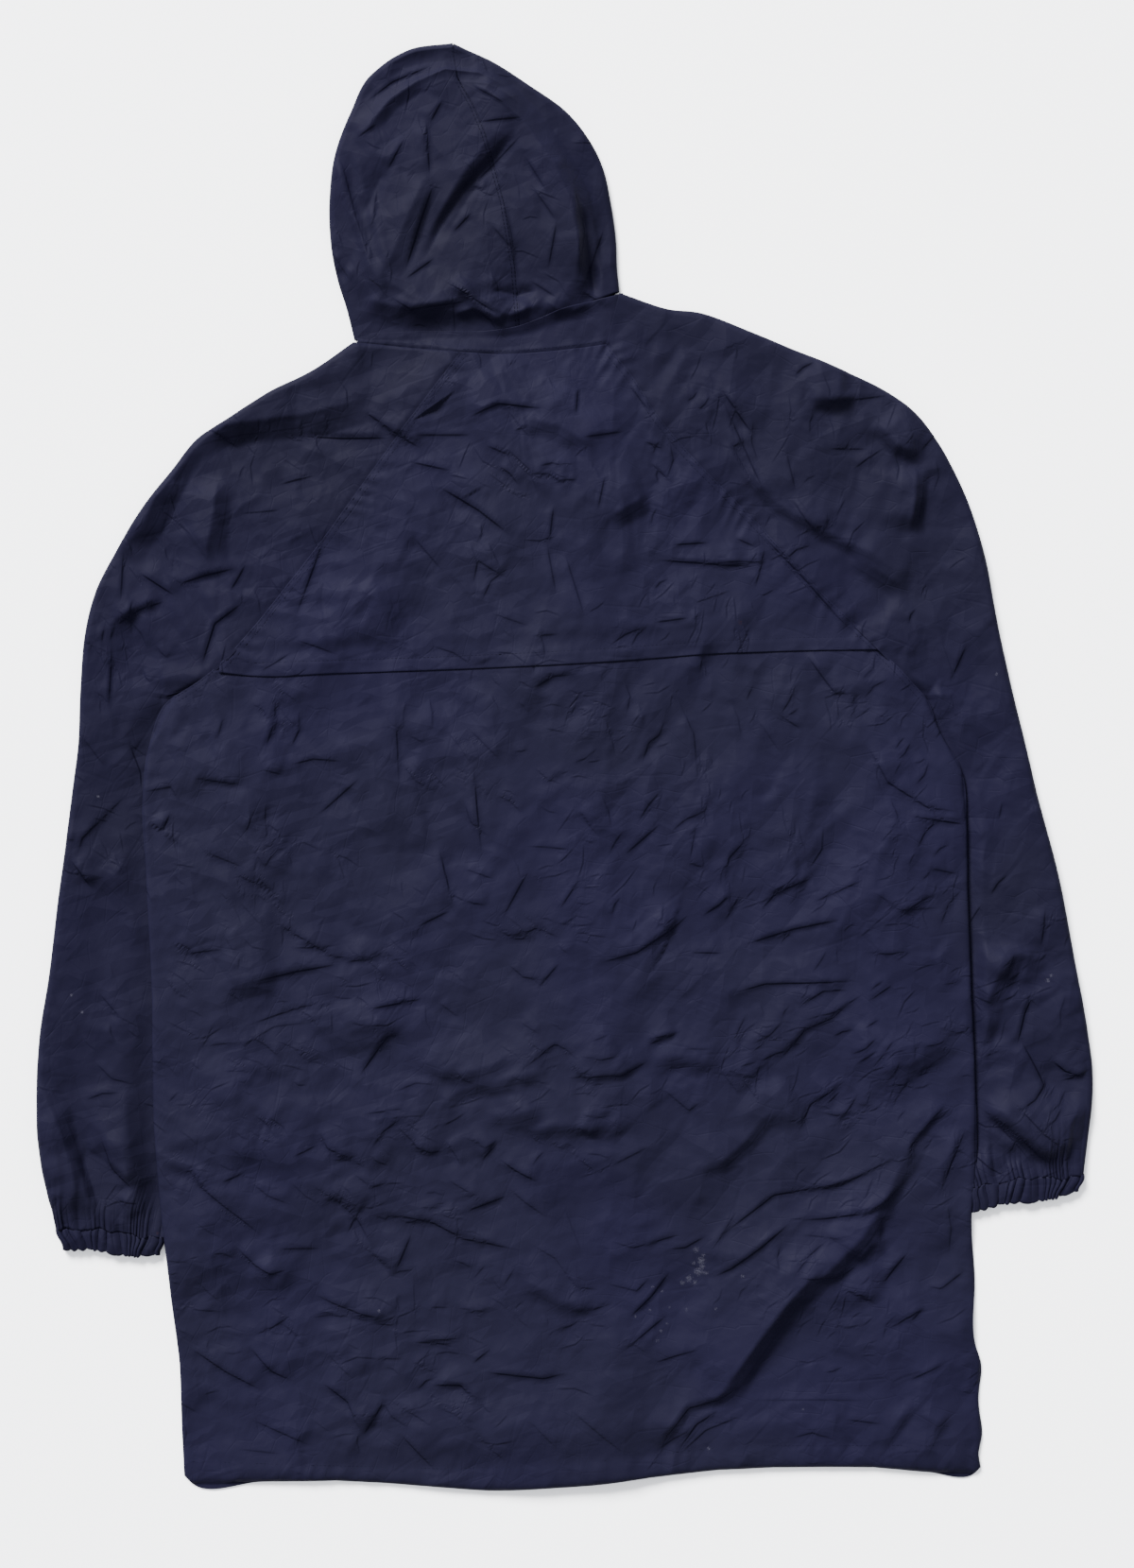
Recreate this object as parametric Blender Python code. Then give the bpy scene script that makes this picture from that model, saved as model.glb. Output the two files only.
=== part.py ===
"""Hooded raincoat of thin nylon, laid flat with its back up.

The coat lies face down: the two fronts and the front halves of the sleeves rest on the surface,
the back, the yoke and the back halves of the sleeves lie on them, and the hood is spread above
the neck with its face opening down. Each piece of cloth is a closed wall of its own, and pieces
that are sewn together end a small gap apart.

Tables and functions work in millimetres: +X to the right as seen from above, +Y from the hem
towards the hood, z up from the surface. Meshes are written in metres.
"""
import math

import bmesh
import bpy
import numpy as np

MM = 0.001
WALL = 1.3
GAP = 0.3
PLY = WALL + GAP
FLOOR_PLY = WALL / 2
SECOND_PLY = FLOOR_PLY + PLY
SEAM_GAP = 0.7

# The yoke rides above the part of the lower back that is tucked under it.
YOKE_RISE = PLY + 0.2

# Body panels rise over the strip of each sleeve that lies under them.
FRONT_OVER_SLEEVE = 3.6
BACK_OVER_SLEEVE = 4.2
STRIP_MARGIN = 12.0
STRIP_RAMP = 45.0

# Front closure: the left front laps over the right one by twice this half width.
LAP_HALF = 15.0
STUD_RADIUS = 6.5
STUD_HEIGHT = 1.5
STUD_RISE = STUD_HEIGHT + GAP
STUD_Y = (235.0, 90.0, -55.0, -200.0, -345.0, -490.0)
LAP_RISE = STUD_RISE + PLY
BACK_OVER_LAP = LAP_RISE + 0.6

# Columns of a front, closer together where it is lifted, and the corner of its neck edge.
FRONT_COLUMNS = (0, 0.04, 0.085, 0.135, 0.19, 0.3, 0.6, 0.76, 0.84, 0.9, 0.95, 1.0)
# Rows of a front near the end of the sleeve, from the upper end of the cuff.
FRONT_ROWS = np.array((-100.0, -52.0, -41.0, -30.0, -18.0, -6.0, 40.0))
FRONT_SIDE_Y = (-215.0, -95.0, 10.0)
FRONT_SEAM_ROWS = (0, 1, 2, 3, 4, 6, 8, 10, 12, 14, 16)
NECK_CORNER = {"left": (-21.0, 277.5), "right": (-17.0, 278.0)}

# Round fold at the outside of a sleeve and round the edge of the hood.
FOLD_DEPTH = 5.0
FOLD_ANGLES = (-50.0, 0.0, 50.0)
FOLD_SWELL = 3.0
FOLD_SWELL_WIDTH = 35.0

# Casings with elastic or a turned hem.
CUFF_HEIGHT = 7.0
CUFF_WALL = 1.6
CUFF_GATHERS = 14
CUFF_GATHER_RISE = 0.9
HEM_DEPTH = 19.0
HEM_SWELL = 1.4

# Corners of each casing where it meets the sleeve, then where it ends.
CUFFS = {
    "left": (((-418.6, -377.7), (-331.0, -385.6)), ((-414.0, -396.0), (-333.5, -404.0))),
    "right": (((341.2, -341.7), (427.0, -334.7)), ((339.0, -364.5), (424.0, -351.0))),
}

# Heights of the hood's upper cloth: the strip round its edge, and the crumpled crown.
HOOD_EDGE = 3.6
HOOD_STRIP_SWELL = 2.0
HOOD_DOME = 14.0
HOOD_DOME_RAMP = 42.0

NAVY = (0.028, 0.030, 0.082)
NAVY_CASING = (0.024, 0.026, 0.072)
NAVY_STUD = (0.020, 0.022, 0.050)


def table(columns, rows):
    """Rows of numbers as a dictionary with one array for each named column."""
    return dict(zip(columns.split(), np.array(rows, float).T))


# Sleeve sections from the neck down to the cuff. Each runs from the outside fold of the sleeve
# to the back raglan seam on top and to the front raglan seam below. From the armpit on, both
# halves end at the underarm seam.
SECTION_COLUMNS = "outer_x outer_y back_x back_y front_x front_y"
SLEEVE_LEFT = table(SECTION_COLUMNS, (
    (-175, 350, -86, 341, -123, 327),
    (-208, 327, -115, 303, -146, 293),
    (-244, 309, -144, 265, -168, 260),
    (-278, 287, -167, 233, -189, 228),
    (-304, 270, -190, 201, -210, 196),
    (-325, 243, -214, 169, -229, 166),
    (-349, 212, -239, 137, -246, 137),
    (-371, 176, -262, 109, -263, 110),
    (-388, 141, -284, 85, -284, 85),
    (-396, 106, -304, 69, -304, 69),
    (-399, 66, -324, 57, -324, 57),
    (-401, 20, -313, 12, -313, 12),
    (-405, -12, -300, -25, -300, -25),
    (-411, -60, -292, -70, -292, -70),
    (-418, -111, -288, -120, -288, -120),
    (-425, -171, -290, -180, -290, -180),
    (-433, -224, -297, -234, -297, -234),
    (-435, -275, -307, -286, -307, -286),
    (-433, -314, -318, -325, -318, -325),
    (-427, -347, -326, -355, -326, -355),
    (-419, -377, -331, -385, -331, -385),
))
SLEEVE_RIGHT = table(SECTION_COLUMNS, (
    (45, 391, 34, 348, 10, 332),
    (84, 378, 58, 318, 38, 306),
    (114, 374, 75, 291, 67, 282),
    (158, 357, 92, 270, 92, 260),
    (189, 344, 110, 250, 117, 237),
    (218, 332, 134, 226, 142, 213),
    (269, 307, 160, 200, 168, 190),
    (298, 281, 190, 166, 194, 167),
    (328, 229, 216, 139, 219, 141),
    (344, 182, 242, 115, 243, 117),
    (357, 116, 270, 87, 270, 88),
    (368, 60, 297, 58, 297, 58),
    (383, 17, 296, 6, 296, 6),
    (392, -26, 284, -32, 284, -32),
    (405, -82, 277, -92, 277, -92),
    (421, -164, 284, -174, 284, -174),
    (430, -213, 296, -226, 296, -226),
    (435, -255, 307, -268, 307, -268),
    (431, -306, 326, -316, 326, -316),
    (427, -334, 341, -341, 341, -341),
))
SLEEVES = {
    "left": {"rows": SLEEVE_LEFT, "armpit": 10, "side": -1},
    "right": {"rows": SLEEVE_RIGHT, "armpit": 11, "side": 1},
}

# Side edges of the body from the hem up to the armpit.
SIDE_LEFT = table("x y", (
    (-314, -584), (-316, -547), (-318, -490), (-325, -437), (-328, -406), (-333, -365),
    (-338, -305), (-340, -230), (-340, -193), (-345, -92), (-348, -24), (-343, 17), (-324, 57),
))
SIDE_RIGHT = table("x y", (
    (343, -577), (341, -566), (344, -551), (341, -522), (343, -490), (338, -474), (338, -419),
    (335, -368), (338, -341), (338, -255), (335, -186), (332, -104), (331, -49), (327, -3),
    (308, 31), (297, 58),
))

# Lower edge of the back, the free edge of the yoke, the seam at the neck.
HEM = table("x y", (
    (-314, -584), (-308, -590), (-250, -589), (-189, -588), (-150, -590), (-97, -594),
    (-65, -596), (-17, -594), (33, -590), (70, -585), (127, -579), (173, -577), (254, -577),
    (299, -581), (338, -582), (343, -577),
))
YOKE_EDGE = table("x y", (
    (-284, 78), (-256, 75), (-190, 77), (-135, 79), (-80, 81), (-29, 83), (41, 87), (116, 93),
    (195, 96), (259, 97),
))
NECK_SEAM = table("x y", ((-86, 341), (-59, 340), (-29, 341), (4, 344), (34, 348)))
TUCKED_EDGE = table("x y", ((-258, 112), (-150, 148), (0, 158), (130, 158), (232, 118)))

# Neck band: the hood is sewn to its upper edge.
BAND_LOWER = table("x y", (
    (-160, 349.4), (-123, 345.7), (-86, 341.9), (-59, 340.9), (-29, 341.9), (4, 344.9), (33, 349),
))
BAND_UPPER = table("x y", ((-160, 352.6), (-123, 354.5), (-37, 359.0), (0, 373.0), (34, 386.0)))

# Hood sections from the neck to the crown. Each runs from the edge of the laid hood to the
# centre seam on top and to the hem of the face opening below.
HOOD_COLUMNS = "outer_x outer_y seam_x seam_y face_x face_y"
HOOD_LEFT = table(HOOD_COLUMNS, (
    (-173.5, 352, -37.3, 360, -20.5, 279.5),
    (-180, 378, -38.3, 385, -70, 320),
    (-188, 404, -41.3, 411, -108, 360),
    (-193, 432, -45.3, 438, -130, 400),
    (-194, 466, -50.3, 465, -140, 440),
    (-189, 506, -57.3, 492, -138, 480),
    (-177, 538, -65.3, 519, -130, 508),
    (-160, 570, -75.3, 543, -117, 532),
    (-126, 591, -83.3, 557, -107, 545),
    (-92.3, 595.5, -88.3, 566, -95, 549),
))
HOOD_RIGHT = table(HOOD_COLUMNS, (
    (45, 392, -36.7, 360, -19.5, 280.5),
    (43, 412, -37.7, 385, -5, 330),
    (42, 436, -40.7, 411, 0, 370),
    (38, 464, -44.7, 438, 0, 408),
    (31, 495, -49.7, 465, -5, 442),
    (18, 520, -56.7, 492, -14, 475),
    (0, 541, -64.7, 519, -28, 502),
    (-27, 560, -74.7, 543, -50, 526),
    (-60, 581, -82.7, 557, -72, 541),
    (-91.7, 595.3, -87.7, 566, -94.4, 549),
))
DOME_EDGE = table("x y", (
    (-146, 393), (-160, 412), (-172, 453), (-182, 492), (-180, 520), (-160, 548), (-130, 566),
    (-95, 570), (-65, 562), (-34, 533), (-12, 512), (2, 488), (11, 460), (12, 430), (10, 402),
    (-40, 388), (-90, 384),
))

# Largest folds: a crest from its start over a bend to its end, its half width and its rise.
FOLD_COLUMNS = "start_x start_y bend_x bend_y end_x end_y half_width rise"
COAT_FOLDS = table(FOLD_COLUMNS, (
    (-81, 286, -54, 298, -15, 294, 16, 5),
    (-41, 283, -8, 267, 25, 254, 14, 5),
    (13, 270, 31, 272, 50, 279, 13, 4),
    (-107, 233, -71, 212, -41, 187, 15, 4),
    (74, 220, 55, 208, 37, 198, 14, 5),
    (73, 171, 119, 166, 158, 165, 14, 5),
    (87, 183, 123, 190, 158, 181, 13, 4),
    (-150, 165, -145, 134, -135, 105, 16, 3),
    (134, 270, 150, 244, 173, 210, 15, 6),
    (173, 210, 224, 177, 284, 145, 17, 7),
    (213, 299, 240, 302, 268, 304, 18, 6),
    (257, 276, 275, 255, 296, 251, 16, 7),
    (293, 248, 292, 224, 287, 193, 15, 8),
    (156, 198, 195, 157, 236, 116, 14, 5),
    (329, 197, 322, 158, 306, 119, 18, 4),
    (353, 88, 341, 41, 345, -6, 18, 4),
    (366, -150, 361, -162, 355, -178, 14, 4),
    (371, -221, 380, -244, 393, -263, 14, 4),
    (352, -285, 369, -299, 401, -325, 14, 6),
    (-218, 273, -182, 276, -144, 272, 16, 6),
    (-175, 298, -154, 286, -131, 269, 14, 5),
    (-304, 267, -318, 232, -335, 195, 18, 7),
    (-278, 233, -285, 205, -290, 173, 14, 6),
    (-371, 116, -349, 130, -322, 140, 14, 6),
    (-320, 151, -296, 156, -272, 162, 13, 5),
    (-256, 150, -285, 119, -299, 90, 15, 6),
    (-236, 233, -220, 239, -204, 241, 14, 4),
    (-380, 134, -379, 95, -375, 49, 15, 4),
    (-388, 10, -395, -37, -391, -100, 18, 4),
    (-418, -262, -402, -302, -366, -339, 14, 6),
    (197, 91, 211, 70, 241, 61, 14, 6),
    (-238, 56, -240, 33, -247, 10, 14, 4),
    (-227, 2, -204, 7, -182, 5, 14, 4),
    (-168, -8, -185, -26, -203, -39, 14, 4),
    (-242, -125, -213, -144, -182, -161, 15, 5),
    (-260, -177, -221, -170, -148, -153, 15, 5),
    (-104, -65, -97, -92, -91, -116, 14, 5),
    (-52, -125, -41, -104, -28, -81, 14, 4),
    (-164, -199, -139, -193, -87, -201, 14, 4),
    (90, 56, 106, 28, 111, -23, 16, 4),
    (244, 26, 265, -12, 305, -36, 15, 6),
    (27, -161, 72, -139, 104, -119, 15, 5),
    (160, -119, 174, -103, 205, -90, 14, 5),
    (144, -147, 188, -133, 247, -115, 15, 5),
    (102, -152, 150, -182, 244, -176, 16, 5),
    (195, -208, 223, -201, 267, -182, 15, 5),
    (263, -275, 290, -248, 315, -225, 20, 4),
    (-300, -476, -276, -497, -246, -515, 15, 5),
    (-242, -474, -234, -497, -205, -505, 14, 5),
    (-203, -504, -179, -522, -166, -550, 14, 5),
    (-166, -550, -154, -533, -147, -518, 14, 5),
    (-147, -518, -123, -536, -106, -560, 14, 5),
    (-68, -497, -29, -504, 3, -497, 14, 4),
    (-44, -429, -5, -444, 33, -442, 15, 4),
    (222, -427, 169, -482, 130, -518, 20, 6),
    (130, -518, 99, -533, 80, -564, 16, 5),
    (93, -560, 127, -538, 158, -532, 14, 4),
    (-29, -240, -6, -302, 2, -380, 24, 3),
    (103, -248, 127, -302, 158, -349, 24, 3),
))
HOOD_FOLDS = table(FOLD_COLUMNS, (
    (-33, 530, -70, 470, -110, 428, 13, -7),
    (-106, 482, -122, 440, -132, 404, 12, -5),
    (-114, 532, -113, 508, -111, 486, 14, 3),
    (-60, 478, -75, 458, -92, 440, 13, 4),
    (-180, 500, -172, 453, -156, 405, 14, 3),
    (-20, 500, -2, 470, 4, 420, 14, 4),
    (-145, 387, -128, 373, -77, 383, 13, 4),
    (-98, 402, -75, 385, -54, 370, 12, 4),
    (13, 394, 28, 388, 38, 378, 12, 3),
))


def column_pairs(rows, *names):
    """Named columns of a table side by side, one row of numbers for each row."""
    return np.stack([rows[name] for name in names], axis=1)


def plan(rows):
    """The x and y columns of a table as points."""
    return column_pairs(rows, "x", "y")


def reach_of(points):
    """Distance travelled from the first row to each row."""
    steps = np.linalg.norm(np.diff(points, axis=0), axis=1)
    return np.concatenate([[0.0], np.cumsum(steps)])


def along(points, fractions):
    """Rows at fractions of the way along a smooth curve through all rows (cubic Hermite)."""
    points = np.asarray(points, float)
    reach = reach_of(points)
    slope = np.gradient(points, reach, axis=0)
    place = np.asarray(fractions, float) * reach[-1]
    first = np.clip(np.searchsorted(reach, place, side="right") - 1, 0, len(reach) - 2)
    span = (reach[first + 1] - reach[first])[:, None]
    t = (place - reach[first])[:, None] / span
    near = 2 * t**3 - 3 * t**2 + 1
    far = 3 * t**2 - 2 * t**3
    leave = (t**3 - 2 * t**2 + t) * span
    arrive = (t**3 - t**2) * span
    return (near * points[first] + far * points[first + 1]
            + leave * slope[first] + arrive * slope[first + 1])


def patch(bottom, top, left, right, across, up):
    """Plan points inside four edge curves (Coons patch): the blend of the two side curves plus
    the blend of the two end curves, less the blend of the four corners."""
    u = np.asarray(across, float)[None, :, None]
    v = np.asarray(up, float)[:, None, None]
    low = along(bottom, across)[None]
    high = along(top, across)[None]
    start = along(left, up)[:, None]
    end = along(right, up)[:, None]
    corners = ((1 - v) * ((1 - u) * low[:, :1] + u * low[:, -1:])
               + v * ((1 - u) * high[:, :1] + u * high[:, -1:]))
    return (1 - v) * low + v * high + (1 - u) * start + u * end - corners


def smooth(t):
    """0 up to 0, 1 from 1 on, and a smooth step between."""
    t = np.clip(t, 0.0, 1.0)
    return t * t * (3 - 2 * t)


def distance_to_line(x, y, points):
    """Distance in plan from each x, y to the nearest point of a line of straight pieces."""
    nearest = np.full(np.shape(x), np.inf)
    for (ax, ay), (bx, by) in zip(points[:-1], points[1:]):
        along_x, along_y = bx - ax, by - ay
        share = ((x - ax) * along_x + (y - ay) * along_y) / (along_x**2 + along_y**2)
        share = np.clip(share, 0.0, 1.0)
        nearest = np.minimum(
            nearest, np.hypot(x - ax - share * along_x, y - ay - share * along_y))
    return nearest


def depth_inside(x, y, points):
    """Distance to a closed outline, positive inside it and negative outside."""
    ring = np.vstack([points, points[:1]])
    inside = np.zeros(np.shape(x), bool)
    for (ax, ay), (bx, by) in zip(ring[:-1], ring[1:]):
        if ay == by:
            continue
        crossing = ax + (y - ay) * (bx - ax) / (by - ay)
        inside ^= ((ay > y) != (by > y)) & (x < crossing)
    distance = distance_to_line(x, y, ring)
    return np.where(inside, distance, -distance)


def crest_lines(folds):
    """Each fold's crest as points of a quadratic curve, with its half width and rise."""
    t = np.linspace(0.0, 1.0, 7)[:, None]
    start = column_pairs(folds, "start_x", "start_y")
    bend = column_pairs(folds, "bend_x", "bend_y")
    end = column_pairs(folds, "end_x", "end_y")
    for a, b, c, half_width, rise in zip(start, bend, end, folds["half_width"], folds["rise"]):
        yield (1 - t)**2 * a + 2 * t * (1 - t) * b + t**2 * c, half_width, rise


def folded_height(x, y, folds):
    """The highest of the ridges plus the deepest of the valleys: each fold is a bell curve of
    the distance from its crest."""
    ridges = np.zeros(np.shape(x))
    valleys = np.zeros(np.shape(x))
    for crest, half_width, rise in crest_lines(folds):
        bell = rise * np.exp(-(distance_to_line(x, y, crest) / half_width)**2)
        ridges = np.maximum(ridges, bell)
        valleys = np.minimum(valleys, bell)
    return ridges + valleys


def swell(x, y):
    """Gentle unevenness of laid cloth: the product of two bent waves, never below zero."""
    wave = np.sin(x / 37 + 1.3 * np.sin(y / 61)) * np.sin(y / 43 + 0.9 * np.sin(x / 53))
    return 1.1 * (1 + wave)


def relief(x, y):
    """Height of folds and unevenness over a flat laid panel."""
    return swell(x, y) + folded_height(x, y, COAT_FOLDS)


def side_x(side, y):
    """Side edge of the body at height y."""
    edge = SIDE_LEFT if side == "left" else SIDE_RIGHT
    return np.interp(y, edge["y"], edge["x"])


def hem_y(x):
    """Lower edge of the back at x."""
    return np.interp(x, HEM["x"], HEM["y"])


def yoke_edge_y(x):
    """Free edge of the yoke at x."""
    return np.interp(x, YOKE_EDGE["x"], YOKE_EDGE["y"])


def over_sleeves(x, y, shift):
    """1 over the strip of each sleeve that lies under the body, 0 away from it. The slope starts
    `shift` further in from the underarm seam than the margin."""
    share = np.zeros(np.shape(x))
    for sleeve in SLEEVES.values():
        first = sleeve["armpit"]
        seam_x = sleeve["rows"]["back_x"][first:]
        seam_y = sleeve["rows"]["back_y"][first:]
        inwards = (x - np.interp(y, seam_y[::-1], seam_x[::-1])) * -sleeve["side"]
        strip = 1 - smooth((inwards - STRIP_MARGIN - shift) / STRIP_RAMP)
        strip *= 1 - smooth((y - seam_y[0] - shift) / STRIP_RAMP)
        strip *= 1 - smooth((seam_y[-1] - 6 - shift - y) / STRIP_RAMP)
        share = np.maximum(share, strip)
    return share


def lap_centre(y):
    """x of the line down the middle of the front closure."""
    return np.interp(y, (-596.0, 278.0), (14.0, -20.0))


def over_lap(x, y, flat, ramp):
    """1 within `flat` of the closure's middle line, falling to 0 over the ramp."""
    share = 1 - smooth((np.abs(x - lap_centre(y)) - flat) / ramp)
    return share * (1 - smooth((y - 290.0) / 50.0))


def body_rise(x, y):
    """How far the back of the coat is lifted by the sleeves and the closure under it."""
    sleeves = BACK_OVER_SLEEVE * over_sleeves(x, y, 12.0)
    lap = BACK_OVER_LAP * over_lap(x, y, 32.0, 60.0)
    return np.maximum(sleeves, lap)


def back_height(x, y):
    """Middle of the lower back's cloth: flat at its side seams and where it is tucked under the
    yoke, with a round swell along the hem casing."""
    from_side = np.minimum(x - side_x("left", y), side_x("right", y) - x)
    from_hem = y - hem_y(x)
    open_share = smooth(from_side / 25) * smooth((yoke_edge_y(x) - y) / 25)
    open_share *= 0.3 + 0.7 * smooth((from_hem - HEM_DEPTH) / 20)
    in_hem = np.clip(from_hem / HEM_DEPTH, 0, 1)
    casing = HEM_SWELL * np.sin(math.pi * in_hem)
    return SECOND_PLY + body_rise(x, y) + open_share * relief(x, y) + casing


def yoke_height(x, y):
    """Middle of the yoke's cloth, one ply above the lower back."""
    return SECOND_PLY + YOKE_RISE + body_rise(x, y) + relief(x, y)


def hood_height(x, y):
    """Middle of the hood's upper cloth: a low strip round the edge, a dip at the foot of the
    crumpled crown, and the crown itself."""
    depth = depth_inside(x, y, plan(DOME_EDGE))
    strip = HOOD_STRIP_SWELL * (1 - np.exp(-(np.minimum(depth, 0) / 8)**2))
    crown = HOOD_DOME * smooth(depth / HOOD_DOME_RAMP)
    folds = folded_height(x, y, HOOD_FOLDS)
    folds = np.where(depth > 0, smooth(depth / 12) * folds, 0.5 * np.maximum(folds, 0))
    return np.maximum(HOOD_EDGE + strip + crown + folds, SECOND_PLY + 0.2)


def wall_mesh(name, middle, outward, wall=WALL, tube=False):
    """One closed wall about a grid of middle points. Each skin lies half the wall from the grid,
    along `outward` and against it. Both skins are cut into the same triangles, so the wall
    keeps its thickness, and strips along the edges join them. A tube closes on itself across."""
    rows, columns = middle.shape[:2]
    outer = middle + outward * wall / 2
    inner = middle - outward * wall / 2
    points = np.concatenate([outer.reshape(-1, 3), inner.reshape(-1, 3)]) * MM
    count = rows * columns
    index = np.arange(count).reshape(rows, columns)
    if tube:
        index = np.concatenate([index, index[:, :1]], axis=1)
    a, b = index[:-1, :-1], index[:-1, 1:]
    c, d = index[1:, 1:], index[1:, :-1]
    turn = (np.add.outer(np.arange(a.shape[0]), np.arange(a.shape[1])) % 2).astype(bool)
    first = np.where(turn[..., None], np.stack([a, b, c], -1), np.stack([a, b, d], -1))
    second = np.where(turn[..., None], np.stack([a, c, d], -1), np.stack([b, c, d], -1))
    skin = np.concatenate([first.reshape(-1, 3), second.reshape(-1, 3)])
    faces = skin.tolist() + (skin[:, ::-1] + count).tolist()
    borders = [index[0], index[-1][::-1]]
    if not tube:
        borders += [index[:, -1], index[:, 0][::-1]]
    for border in borders:
        for p, q in zip(border[:-1].tolist(), border[1:].tolist()):
            faces.append((p + count, q + count, q))
            faces.append((p + count, q, p))
    return place_mesh(name, points, faces)


def place_mesh(name, points, faces):
    """A mesh object in the scene, with its faces turned outwards."""
    mesh = bpy.data.meshes.new(name)
    mesh.from_pydata(points.tolist(), [], faces)
    work = bmesh.new()
    work.from_mesh(mesh)
    bmesh.ops.recalc_face_normals(work, faces=work.faces)
    work.to_mesh(mesh)
    work.free()
    thing = bpy.data.objects.new(name, mesh)
    bpy.context.scene.collection.objects.link(thing)
    return thing


def finish(thing, colour, roughness, metallic=0.0):
    """Give an object its own material."""
    material = bpy.data.materials.new(thing.name)
    material.use_nodes = True
    shader = material.node_tree.nodes["Principled BSDF"]
    shader.inputs["Base Color"].default_value = (*colour, 1.0)
    shader.inputs["Roughness"].default_value = roughness
    shader.inputs["Metallic"].default_value = metallic
    thing.data.materials.append(material)
    return thing


def height_sheet(name, points, height):
    """A wall of cloth over plan points at the heights that `height` gives."""
    x, y = points[..., 0], points[..., 1]
    middle = np.stack([x, y, height(x, y)], axis=-1)
    outward = np.zeros_like(middle)
    outward[..., 2] = 1.0
    return finish(wall_mesh(name, middle, outward), NAVY, 0.5)


def folded_sheet(name, outer, upper, lower, height, upper_steps, lower_steps):
    """A sheet folded round the line `outer`: from `lower` flat along the surface, round the fold
    in a half ellipse, and back on top to `upper`. `height` takes x, y, the distance from the
    upper edge and the distance from the fold."""
    travel = np.gradient(outer, axis=0)
    normal = np.stack([travel[:, 1], -travel[:, 0]], axis=1)
    normal /= np.linalg.norm(normal, axis=1)[:, None]
    across = outer - upper
    across /= np.linalg.norm(across, axis=1)[:, None]
    normal *= np.sign(np.sum(normal * across, axis=1))[:, None]
    normal[[0, -1]] = across[[0, -1]]
    crest = outer - normal * WALL / 2
    fold_start = crest - normal * FOLD_DEPTH
    width = np.linalg.norm(fold_start - upper, axis=1)[:, None]

    a = np.asarray(upper_steps, float)[None, ::-1]
    top = upper[:, None] + (fold_start - upper)[:, None] * a[..., None]
    top_z = height(top[..., 0], top[..., 1], a * width, (1 - a) * width)
    rise = (top_z[:, :1] - FLOOR_PLY) / 2

    b = np.asarray(lower_steps, float)[None, :]
    under = lower[:, None] + (fold_start - lower)[:, None] * b[..., None]
    angle = np.radians(FOLD_ANGLES)[None, :]
    bend = crest[:, None] - normal[:, None] * (FOLD_DEPTH * (1 - np.cos(angle)))[..., None]
    bend_z = FLOOR_PLY + rise * (1 + np.sin(angle))

    middle = np.concatenate([
        np.dstack([under, np.full(under.shape[:2], FLOOR_PLY)]),
        np.dstack([bend, bend_z]),
        np.dstack([top, top_z]),
    ], axis=1)
    outward = np.zeros_like(middle)
    first_bend = under.shape[1]
    first_top = first_bend + bend.shape[1]
    outward[:, :first_bend, 2] = -1.0
    outward[:, first_bend:first_top, :2] = normal[:, None] * np.cos(angle)[..., None]
    outward[:, first_bend:first_top, 2] = np.sin(angle)
    outward[:, first_top:, 2] = 1.0
    return finish(wall_mesh(name, middle, outward), NAVY, 0.5)


def sleeve_sections(side):
    """A sleeve's sections from neck to cuff, with one of them at the armpit, and its number."""
    sleeve = SLEEVES[side]
    rows = column_pairs(sleeve["rows"], *SECTION_COLUMNS.split())
    reach = reach_of(rows)
    armpit = reach[sleeve["armpit"]] / reach[-1]
    upper_count, lower_count = 17, 17
    fractions = np.concatenate([
        np.linspace(0, armpit, upper_count), np.linspace(armpit, 1, lower_count + 1)[1:]])
    return along(rows, fractions), upper_count - 1


def raglan(side, which):
    """The raglan seam from the neck to the armpit, on the back or on the front."""
    sections, armpit = sleeve_sections(side)
    columns = {"back": (2, 3), "front": (4, 5)}[which]
    return sections[:armpit + 1, columns]


def sleeve(side):
    """One sleeve, folded at the outside of the arm."""
    sections, armpit = sleeve_sections(side)
    outer, back, front = sections[:, 0:2], sections[:, 2:4], sections[:, 4:6]
    sign = SLEEVES[side]["side"]
    inwards = (back - outer) / np.linalg.norm(back - outer, axis=1)[:, None]
    back = back - inwards * SEAM_GAP
    front = front - inwards * SEAM_GAP
    above = np.arange(len(sections))[:, None] < armpit
    seam_rise = np.where(above, YOKE_RISE, 0.0)
    armpit_y = sections[armpit, 3]

    def height(x, y, from_upper, from_fold):
        seam = seam_rise * (1 - smooth(from_upper / 40))
        clear_of_body = smooth(((x - side_x(side, y)) * sign - 2) / 25)
        share = np.maximum(clear_of_body, smooth((y - armpit_y) / 20))
        fold = FOLD_SWELL * (1 - smooth(from_fold / FOLD_SWELL_WIDTH))
        return SECOND_PLY + seam + fold + share * relief(x, y)

    return folded_sheet(f"sleeve_{side}", outer, back, front, height,
                        np.linspace(0, 1, 10), (0.0, 0.35, 0.7, 1.0))


def hood(side):
    """One half of the hood, folded under round the edge of the laid hood."""
    rows = HOOD_LEFT if side == "left" else HOOD_RIGHT
    sections = along(column_pairs(rows, *HOOD_COLUMNS.split()), np.linspace(0, 1, 17))
    outer, seam, face = sections[:, 0:2], sections[:, 2:4], sections[:, 4:6]
    return folded_sheet(f"hood_{side}", outer, seam, face,
                        lambda x, y, from_upper, from_fold: hood_height(x, y),
                        np.linspace(0, 1, 11), (0.0, 0.5, 1.0))


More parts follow.
